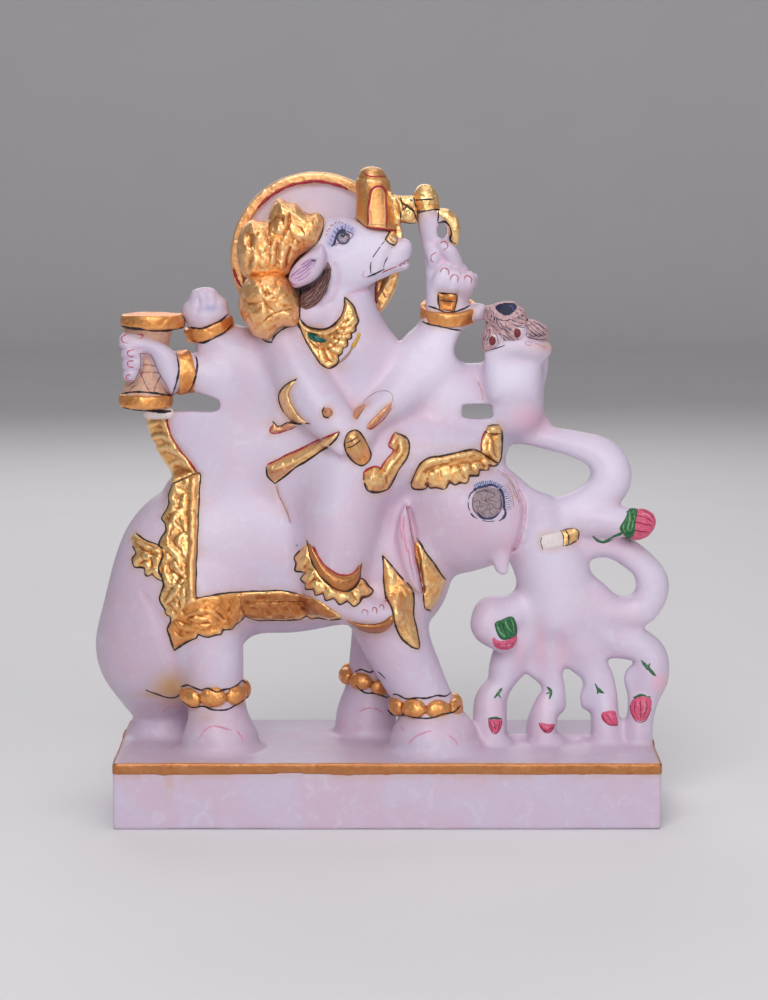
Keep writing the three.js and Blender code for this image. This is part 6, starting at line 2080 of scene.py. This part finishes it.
def tinged(thing):
    """Soft tints on the marble: pink in the hollows and in patches, part pink paint and part painted shade;
    ochre beside the gold; blue paint, with some painted shade; grey painted shade; and pale painted light.
    """
    co = spots(thing)
    x, y, z = co.T
    u, v = seen(x, y, z)
    above = 0.25 + 0.75 * smooth_step(36, 48, z)
    # Pink in the hollows, from how the surface bends: painted shade
    blush_and_shade = 0.6 * above * np.clip(-bend(marble, co, 5.0) / 2.4, 0, 1)
    blush_and_shade = blush_and_shade + 0.4 * above * np.clip(-bend(marble, co, 1.6) / 1.2, 0, 1)

    def patched(tint, *rows):
        """A tint with soft oval patches on the front: where each is, its radii and its strength."""
        for spot, radii, strength in rows:
            far = ((u - spot[0]) / radii[0]) ** 2 + ((v - spot[1]) / radii[1]) ** 2
            tint = np.maximum(tint, strength * np.exp(-far) * (y < 12))
        return tint

    # Pink patches: pink paint on the ear, mouth, cheek, arm and trunks, and painted shade on the rump and
    # along the feet
    blush_and_shade = patched(blush_and_shade, ((66.8, 184.4), (9, 7), 1.0), ((129.2, 59.6), (4, 4), 1.4),
        ((57.8, 125.2), (6, 8), 0.8), ((60.6, 137), (3, 12), 0.6), ((8, 127.6), (4, 16), 0.9),
        ((-66.4, 198.4), (5, 14), 0.25), ((100.4, 99), (22, 14), 0.25), ((39, 137), (14, 16), 0.3),
        ((118.4, 179.6), (10, 8), 0.25), ((-17.4, 79.8), (20, 4), 0.3), ((72.4, 77.4), (3, 12), 0.7),
        ((82.8, 75), (3, 12), 0.6), ((62.8, 75), (3, 12), 0.5), ((100.2, 125.2), (14, 3), 0.5),
        ((72.6, 50.8), (4, 8), 0.5), ((52.2, 43.6), (4, 6), 0.4), ((107.6, 48.4), (3, 6), 0.5),
        ((-35.8, 258), (7, 6), 0.5), ((20.2, 137), (20, 12), 0.22), ((43.8, 137), (16, 12), 0.2),
        ((-126, 99), (14, 34), 0.22), ((-17.6, 37.4), (140, 5), 0.18), ((-35.8, 238), (12, 8), 0.2))
    ochre = 0 * u
    ochre = patched(ochre, ((-102.2, 56.6), (9, 8), 1.0), ((-108.4, 53.8), (8, 2.4), 0.9),
        ((-98, 50.8), (5, 3), 0.4), ((-85.8, 43.6), (7, 4), 0.35), ((-105.8, 224.2), (14, 3), 0.45),
        ((29.6, 171.6), (16, 2), 0.2), ((-22, 209.6), (5, 2.4), 0.35), ((15.6, 42.2), (12, 2.5), 0.25),
        ((74.6, 218.6), (7, 2.2), 0.5), ((-55.8, 156), (3, 4), 0.25), ((-52, 151.2), (2.4, 8), 0.3),
        ((-48.4, 141.8), (2.0, 6), 0.25))
    near_gold = np.full(len(co), 9.0)
    for clay in carved[1:gilded]:
        inside = np.all((co > clay.low) & (co < clay.high), axis=1)
        if inside.any():
            near_gold[inside] = np.minimum(near_gold[inside],
                clay.sample(x[inside], y[inside], z[inside]))
    smudge = 0.4 + 0.6 * (noise(x, y, z, 9, 81) > -0.1)
    ochre = np.maximum(ochre, 0.42 * np.clip(1 - near_gold / 2.6, 0, 1) * smudge)
    blue_paint_and_shade, painted_shade = 0 * u, 0 * u
    # Blue paint round the rider's eye and on the left hand and anklet; the patches beside the flank's
    # crease and under the right arm are painted shade
    arc = [(-26.2, 266.8), (-25.6, 269.2), (-24.2, 271.4), (-22.6, 273.4), (-20.4, 274), (-18.2, 273.6),
        (-16.6, 272.6)]
    blue_paint_and_shade = patched(blue_paint_and_shade, *[(spot, (2.2, 2.2), 0.9) for spot in arc])
    blue_paint_and_shade = patched(blue_paint_and_shade, ((-22.2, 271), (8, 8), 0.2), ((-82.4, 236.6), (4, 1.6), 0.75),
        ((-84.6, 240.4), (3, 4), 0.25), ((55.8, 176.4), (6, 4), 0.2), ((-42.8, 125.2), (2, 2), 0.3),
        ((-45.6, 137), (5, 14), 0.10))
    # Painted shade: grey patches that darken the rump, the elephant's brow and the places under the arms
    painted_shade = patched(painted_shade, ((42, 188.6), (8, 4), 0.5), ((55.8, 176.4), (6, 4), 0.3),
        ((-85.6, 239.4), (4, 4), 0.12), ((-126, 87), (16, 40), 0.14), ((25, 139.4), (16, 16), 0.13))
    # Painted light: pale patches over much of the front, strongest on the head, the right arm and the
    # trunks, and on the halo's disc
    painted_light = 0 * u
    painted_light = patched(painted_light, ((-11.6, 261.2), (26, 20), 0.7), ((55, 206.8), (16, 18), 0.8),
        ((24.6, 249.8), (10, 14), 0.6), ((24.8, 212.4), (30, 24), 0.8), ((-40.4, 268.2), (44, 36), 0.5),
        ((-40.8, 174.8), (44, 30), 0.3), ((100, 156), (34, 24), 0.7), ((79.2, 103.8), (32, 34), 0.6),
        ((82, 55.8), (50, 18), 0.45), ((-80.8, 137), (30, 30), 0.35), ((121.8, 99), (16, 30), 0.5),
        ((-87.2, 203), (26, 20), 0.3), ((-74.2, 70.2), (16, 16), 0.3))
    on_disc = (y > 10) & (z > 225) & (np.hypot(x - HALO[0], z - HALO[1]) < 36)
    painted_light = np.maximum(painted_light, 0.5 * on_disc)
    for name, values in (("painted_light", painted_light), ("blush_and_shade", blush_and_shade), ("ochre", ochre), ("blue_paint_and_shade", blue_paint_and_shade),
            ("painted_shade", painted_shade)):
        stamp(thing, name, values)


# Materials

class Shade:
    """A socket of a material, so that its maths reads as an expression."""

    def __init__(self, tree, socket):
        self.tree = tree
        self.socket = socket

    def maths(self, operation, *values):
        return self.tree.node("ShaderNodeMath", {"operation": operation}, values)

    def __add__(self, other):
        return self.maths("ADD", self, other)

    def __radd__(self, other):
        return self.maths("ADD", other, self)

    def __sub__(self, other):
        return self.maths("SUBTRACT", self, other)

    def __rsub__(self, other):
        return self.maths("SUBTRACT", other, self)

    def __mul__(self, other):
        return self.maths("MULTIPLY", self, other)

    def __rmul__(self, other):
        return self.maths("MULTIPLY", other, self)

    def clamp(self):
        return self.tree.node("ShaderNodeClamp", {}, (self, 0.0, 1.0))

    def between(self, low, high):
        """0 below `low` and 1 above `high`, smooth between."""
        return self.tree.node("ShaderNodeMapRange", {"interpolation_type": "SMOOTHSTEP"},
            {"Value": self, "From Min": low, "From Max": high})


class Finish:
    """A material: its nodes are made by one method, and it ends in one Principled shader."""

    def __init__(self, name):
        self.material = bpy.data.materials.new(name)
        self.material.use_nodes = True
        self.nodes = self.material.node_tree.nodes
        self.links = self.material.node_tree.links
        self.shader = self.nodes["Principled BSDF"]

    def node(self, kind, settings=None, values=(), out=0):
        """Any node: its settings first, then the values or links of its sockets."""
        node = self.nodes.new(kind)
        for key, value in (settings or {}).items():
            setattr(node, key, value)
        items = values.items() if isinstance(values, dict) else enumerate(values)
        for key, value in items:
            self.feed(node.inputs[key], value)
        return Shade(self, node.outputs[out])

    def feed(self, socket, value):
        if isinstance(value, Shade):
            self.links.new(value.socket, socket)
        elif isinstance(value, tuple) and len(value) == 3 and socket.type == "RGBA":
            socket.default_value = (*value, 1)
        else:
            socket.default_value = value

    def set(self, name, value):
        self.feed(self.shader.inputs[name], value)

    def mix(self, amount, a, b):
        """One colour over another."""
        return self.node("ShaderNodeMix", {"data_type": "RGBA"}, {0: amount, 6: a, 7: b}, out=2)

    def place(self):
        """Where a point is on the object, in metres."""
        return self.node("ShaderNodeTexCoord", out=3)

    def clouds(self, size, detail=3.0, rough=0.55, distortion=0.0):
        """Noise with lumps of about `size` millimetres, 0 to 1."""
        return self.node("ShaderNodeTexNoise", {"noise_type": "FBM"},
            {"Vector": self.place(), "Scale": 1000.0 / size, "Detail": detail, "Roughness": rough,
                "Distortion": distortion})

    def attribute(self, name):
        return self.node("ShaderNodeAttribute", {"attribute_name": name}, out=2)

    def bump(self, height, strength, distance):
        return self.node("ShaderNodeBump", {},
            {"Height": height, "Strength": strength, "Distance": distance * MM})


def marble_finish():
    """White marble with a lavender cast, soft clouds, pink that is partly paint and partly painted shade,
    grey painted shade, pale painted light and smears of the brush.
    """
    m = Finish("white_marble")
    cloud = m.clouds(30, 4, 0.6, 0.8)
    grain = m.clouds(1.1, 2, 0.6)
    veil = m.clouds(9, 4, 0.6, 1.6)
    base = m.mix(cloud.between(0.36, 0.64), (0.625, 0.48, 0.605), (0.615, 0.53, 0.67))
    base = m.mix(veil.between(0.52, 0.72) * 0.5, base, (0.68, 0.65, 0.74))
    base = m.mix(veil.between(0.46, 0.30) * 0.3, base, (0.61, 0.45, 0.575))
    # Painted light: pale patches
    base = m.mix(m.attribute("painted_light").clamp(), base, (0.82, 0.79, 0.93))
    # Pink: pink paint in patches, and painted shade in the hollows
    base = m.mix(m.attribute("blush_and_shade").clamp() * 0.6, base, (0.82, 0.42, 0.54))
    base = m.mix(m.attribute("ochre").clamp(), base, (0.58, 0.33, 0.12))
    # Blue paint, and a little painted shade
    base = m.mix(m.attribute("blue_paint_and_shade").clamp() * 0.9, base, (0.25, 0.28, 0.56))
    # Painted shade: grey patches
    base = m.mix(m.attribute("painted_shade").clamp() * 0.7, base, (0.22, 0.21, 0.25))
    base = m.mix(grain.between(0.3, 0.7) * 0.12, base, (0.62, 0.54, 0.66))
    m.set("Base Color", base)
    m.set("Roughness", 0.36 + cloud * 0.12)
    m.set("Subsurface Weight", 0.18)
    m.set("Subsurface Radius", (1.0, 0.75, 0.8))
    m.set("Subsurface Scale", 0.003)
    m.set("Coat Weight", 0.10)
    m.set("Coat Roughness", 0.3)
    height = grain * 0.5 + m.clouds(0.6, 1, 0.5) * 0.2 + veil * 0.9
    m.set("Normal", m.bump(height, 0.22, 0.5))
    return m.material


def gold_finish(name="gold_leaf", light=(0.98, 0.525, 0.19), dark=(0.38, 0.11, 0.025), metal=0.8,
        sparkle=1.2, folds=1.8):
    """Brushed gold leaf with rubbed orange patches: painted highlights pale on the ridges and in glints,
    painted shade brown in the hollows.
    """
    m = Finish(name)
    patch = m.clouds(8, 4, 0.62, 0.9)
    foil = m.clouds(1.8, 4, 0.65, 0.6)
    glint = m.clouds(1.1, 3, 0.6, 1.2)
    ridge_light_hollow_shade = m.attribute("ridge_light_hollow_shade")
    warm = tuple(c * f for c, f in zip(light, (0.92, 0.80, 0.66)))
    pale = tuple(min(1.0, c * f) for c, f in zip(light, (1.10, 1.30, 1.65)))
    base = m.mix(patch.between(0.38, 0.62), light, warm)
    base = m.mix((patch + foil * 0.6).between(0.68, 0.50) * 0.2, base, dark)
    # Painted highlight: pale on the ridges
    base = m.mix((ridge_light_hollow_shade * 1.2 + foil - 0.35).between(0.05, 0.6) * 0.9, base, pale)
    # Painted glints: small pale specks, with small dark specks among them
    base = m.mix(glint.between(0.54, 0.68) * (0.35 * sparkle), base, pale)
    base = m.mix(glint.between(0.44, 0.32) * (0.30 * sparkle), base, dark)
    # Painted shade: brown in the hollows
    base = m.mix((ridge_light_hollow_shade * -1.0 + (foil - 0.5) * 0.8).between(0.10, 0.75) * 0.7, base, dark)
    m.set("Base Color", base)
    m.set("Metallic", metal)
    m.set("Roughness", 0.22 + foil * 0.2)
    swell = m.clouds(4.5, 1.5, 0.5, 0.6)
    m.set("Normal", m.bump(swell * folds + foil * 0.25 + glint * 0.1, 0.75, 0.9))
    return m.material


def paint_finish(name, colour, roughness=0.5, vary=0.25):
    """A thin coat of paint, uneven as a brush leaves it."""
    m = Finish(name)
    brush = m.clouds(1.2, 3, 0.6, 0.4)
    darker = tuple(c * (1 - vary) for c in colour)
    m.set("Base Color", m.mix(brush.between(0.35, 0.7), colour, darker))
    m.set("Roughness", roughness + brush * 0.15)
    m.set("Normal", m.bump(brush, 0.25, 0.1))
    return m.material


def floor_finish():
    m = Finish("pale_floor")
    cloud = m.clouds(120, 2, 0.5)
    m.set("Base Color", m.mix(cloud, (0.80, 0.80, 0.81), (0.84, 0.84, 0.85)))
    m.set("Roughness", 0.75)
    return m.material


# Camera, light and floor

def photograph_camera():
    data = bpy.data.cameras.new("camera")
    data.sensor_width = SENSOR
    data.lens = EYE_LENS
    data.clip_start = 0.05
    data.clip_end = 20
    camera = bpy.data.objects.new("camera", data)
    camera.location = [c * MM for c in EYE]
    camera.rotation_euler = (math.radians(90 - EYE_PITCH), 0, 0)
    bpy.context.scene.collection.objects.link(camera)
    bpy.context.scene.camera = camera


def soft_light(name, place, aim, size, power, colour):
    data = bpy.data.lights.new(name, "AREA")
    data.shape = "RECTANGLE"
    data.size, data.size_y = size
    data.energy = power
    data.color = colour
    light = bpy.data.objects.new(name, data)
    light.location = place
    light.rotation_euler = (Vector(aim) - Vector(place)).to_track_quat("-Z", "Y").to_euler()
    bpy.context.scene.collection.objects.link(light)


def studio():
    soft_light("key", (-0.35, -1.4, 1.45), (0, 0, 0.15), (0.8, 0.8), 12.2, (0.98, 0.985, 1.0))
    soft_light("fill", (1.1, -1.25, 0.95), (0, 0, 0.15), (0.9, 0.9), 4.6, (1.0, 0.95, 0.97))
    soft_light("front", (0.15, -2.3, 0.75), (0, 0, 0.15), (1.2, 0.9), 12.0, (1.0, 0.985, 0.985))
    soft_light("top", (0.1, 0.1, 1.5), (0, 0, 0.1), (1.0, 1.0), 4.5, (1.0, 0.99, 1.0))
    soft_light("back", (-0.2, 1.3, 0.9), (0, 0, 0.15), (1.2, 0.8), 5, (1.0, 0.98, 1.0))
    world = bpy.data.worlds.new("room")
    world.use_nodes = True
    world.node_tree.nodes["Background"].inputs[0].default_value = (0.92, 0.88, 0.91, 1)
    world.node_tree.nodes["Background"].inputs[1].default_value = 0.22
    bpy.context.scene.world = world
    view = bpy.context.scene.view_settings
    view.view_transform = "Standard"
    view.look = "None"


def pale_floor():
    """A floor that curves up into a backdrop."""
    mesh = bpy.data.meshes.new("floor")
    rows = [(-BACK_TOP, 0.0), (BACK_Y, 0.0)]
    for a in np.linspace(0.12, math.pi / 2, 12):
        rows.append((BACK_Y + BEND * math.sin(a), BEND - BEND * math.cos(a)))
    rows.append((BACK_Y + BEND, BACK_TOP))
    points = [(x, y, z) for y, z in rows for x in (-FLOOR_HALF, FLOOR_HALF)]
    faces = [(2 * i, 2 * i + 1, 2 * i + 3, 2 * i + 2) for i in range(len(rows) - 1)]
    mesh.from_pydata(points, [], faces)
    mesh.polygons.foreach_set("use_smooth", [True] * len(faces))
    floor = bpy.data.objects.new("floor", mesh)
    floor.data.materials.append(floor_finish())
    bpy.context.scene.collection.objects.link(floor)


# The whole object

white_marble = marble_finish()
gold_leaf = gold_finish()
copper_gold = gold_finish("copper_gold", (0.62, 0.26, 0.12), (0.26, 0.07, 0.03), 0.6)
gold_paint = gold_finish("gold_paint", (0.48, 0.20, 0.07), (0.32, 0.12, 0.035), 0.6, 0.5, 0.6)
# A darker, more orange copy of the gold leaf, as painted shade: the bangles, drum rims, beads, clasp and
# saddle's corner
gold_in_shade = gold_finish("gold_in_shade", (0.82, 0.33, 0.09), (0.24, 0.06, 0.015), 0.75, 1.2, 1.4)
# A dark brown copy of the gold leaf, as painted shade: the saddle's hem, the anklet's band and the foot
# rest
gold_in_deep_shade = gold_finish("gold_in_deep_shade", (0.52, 0.19, 0.055), (0.18, 0.05, 0.015), 0.75, 1.0, 1.0)
plain_gold = gold_finish("plain_gold", (0.72, 0.345, 0.115), (0.36, 0.13, 0.035), 0.7, 0.4, 0.5)
rim_gold = gold_finish("rim_gold", (0.80, 0.41, 0.165), (0.42, 0.14, 0.05), 0.7, 0.8, 0.9)
hair_gold = gold_finish("hair_gold", (0.97, 0.46, 0.165), (0.36, 0.10, 0.025), 0.8)
black_paint = paint_finish("lamp_black", (0.012, 0.010, 0.014), 0.38)
red_paint = paint_finish("red_line", (0.42, 0.018, 0.04), 0.4)
pink_paint = paint_finish("pink_line", (0.80, 0.33, 0.48), 0.5)
violet_paint = paint_finish("violet_line", (0.40, 0.12, 0.45), 0.5)
navy_paint = paint_finish("blue_black", (0.03, 0.035, 0.11), 0.42)
blue_paint = paint_finish("blue", (0.02, 0.06, 0.32), 0.42)
grey_paint = paint_finish("grey_iris", (0.36, 0.27, 0.30), 0.5)
dark_grey_paint = paint_finish("iris_line", (0.13, 0.10, 0.12), 0.5)
iris_paint = paint_finish("iris_grey", (0.27, 0.22, 0.29), 0.35, 0.4)
shade_paint = paint_finish("lash_light", (0.44, 0.52, 0.76), 0.42)
plum_paint = paint_finish("plum", (0.22, 0.10, 0.22), 0.5)
eye_white = paint_finish("eye_white", (0.76, 0.58, 0.70), 0.35, 0.15)
petal_paint = paint_finish("petal_pink", (0.78, 0.12, 0.23), 0.42, 0.35)
crimson_paint = paint_finish("crimson", (0.30, 0.005, 0.05), 0.42)
green_paint = paint_finish("leaf_green", (0.03, 0.19, 0.07), 0.42, 0.6)
lime_paint = paint_finish("leaf_light", (0.16, 0.42, 0.16), 0.42, 0.3)
fir_paint = paint_finish("leaf_dark", (0.01, 0.055, 0.03), 0.42, 0.3)
lash_paint = paint_finish("lash_blue", (0.07, 0.10, 0.30), 0.42)
strand_paint = paint_finish("strand_brown", (0.05, 0.018, 0.02), 0.45)
nail_paint = paint_finish("nail_red", (0.55, 0.05, 0.08), 0.45)
teal_paint = paint_finish("teal_stone", (0.0, 0.10, 0.08), 0.25)
yellow_paint = paint_finish("yellow", (0.70, 0.40, 0.03), 0.45)
ochre_paint = paint_finish("ochre_line", (0.45, 0.27, 0.20), 0.5)
brown_paint = paint_finish("brown", (0.33, 0.155, 0.14), 0.5, 0.4)
pad_paint = paint_finish("purse_pad", (0.78, 0.66, 0.74), 0.5)
maroon_paint = paint_finish("maroon", (0.20, 0.02, 0.035), 0.42)
purse_cloth = paint_finish("purse_pink", (0.68, 0.44, 0.46), 0.5, 0.45)
mouth_paint = paint_finish("purse_mouth_blue", (0.012, 0.014, 0.05), 0.5)
drum_skin = paint_finish("drum_tan", (0.72, 0.43, 0.31), 0.5, 0.25)
ivory_paint = paint_finish("ivory", (0.80, 0.72, 0.72), 0.4, 0.1)

marble = carve_marble()
carved.append(marble)
stone = piece("marble_body", *skinned(marble, least=2000), white_marble, "marble", BODY_TRIANGLES)
saddle_border()
crupper()
scarf()
brow_band()
brow_strap()
harness_leaves()
collar()
anklet()
foot_rest()
front_arm_gold()
club()
capsule()
horn()
painted_tusk()
hair()
halo_rim()
halo_side()
temple()
snout_tusk_tip()
drum()
bangles()
ankle_beads()
goad()
plinth_line()
gilded = len(carved)
ear_and_lock()
purse()
rider_eye()
elephant_eye()
flowers()
gems_and_marks()
black_lines()
red_lines()
pink_lines()
tinged(stone)
photograph_camera()
studio()
pale_floor()
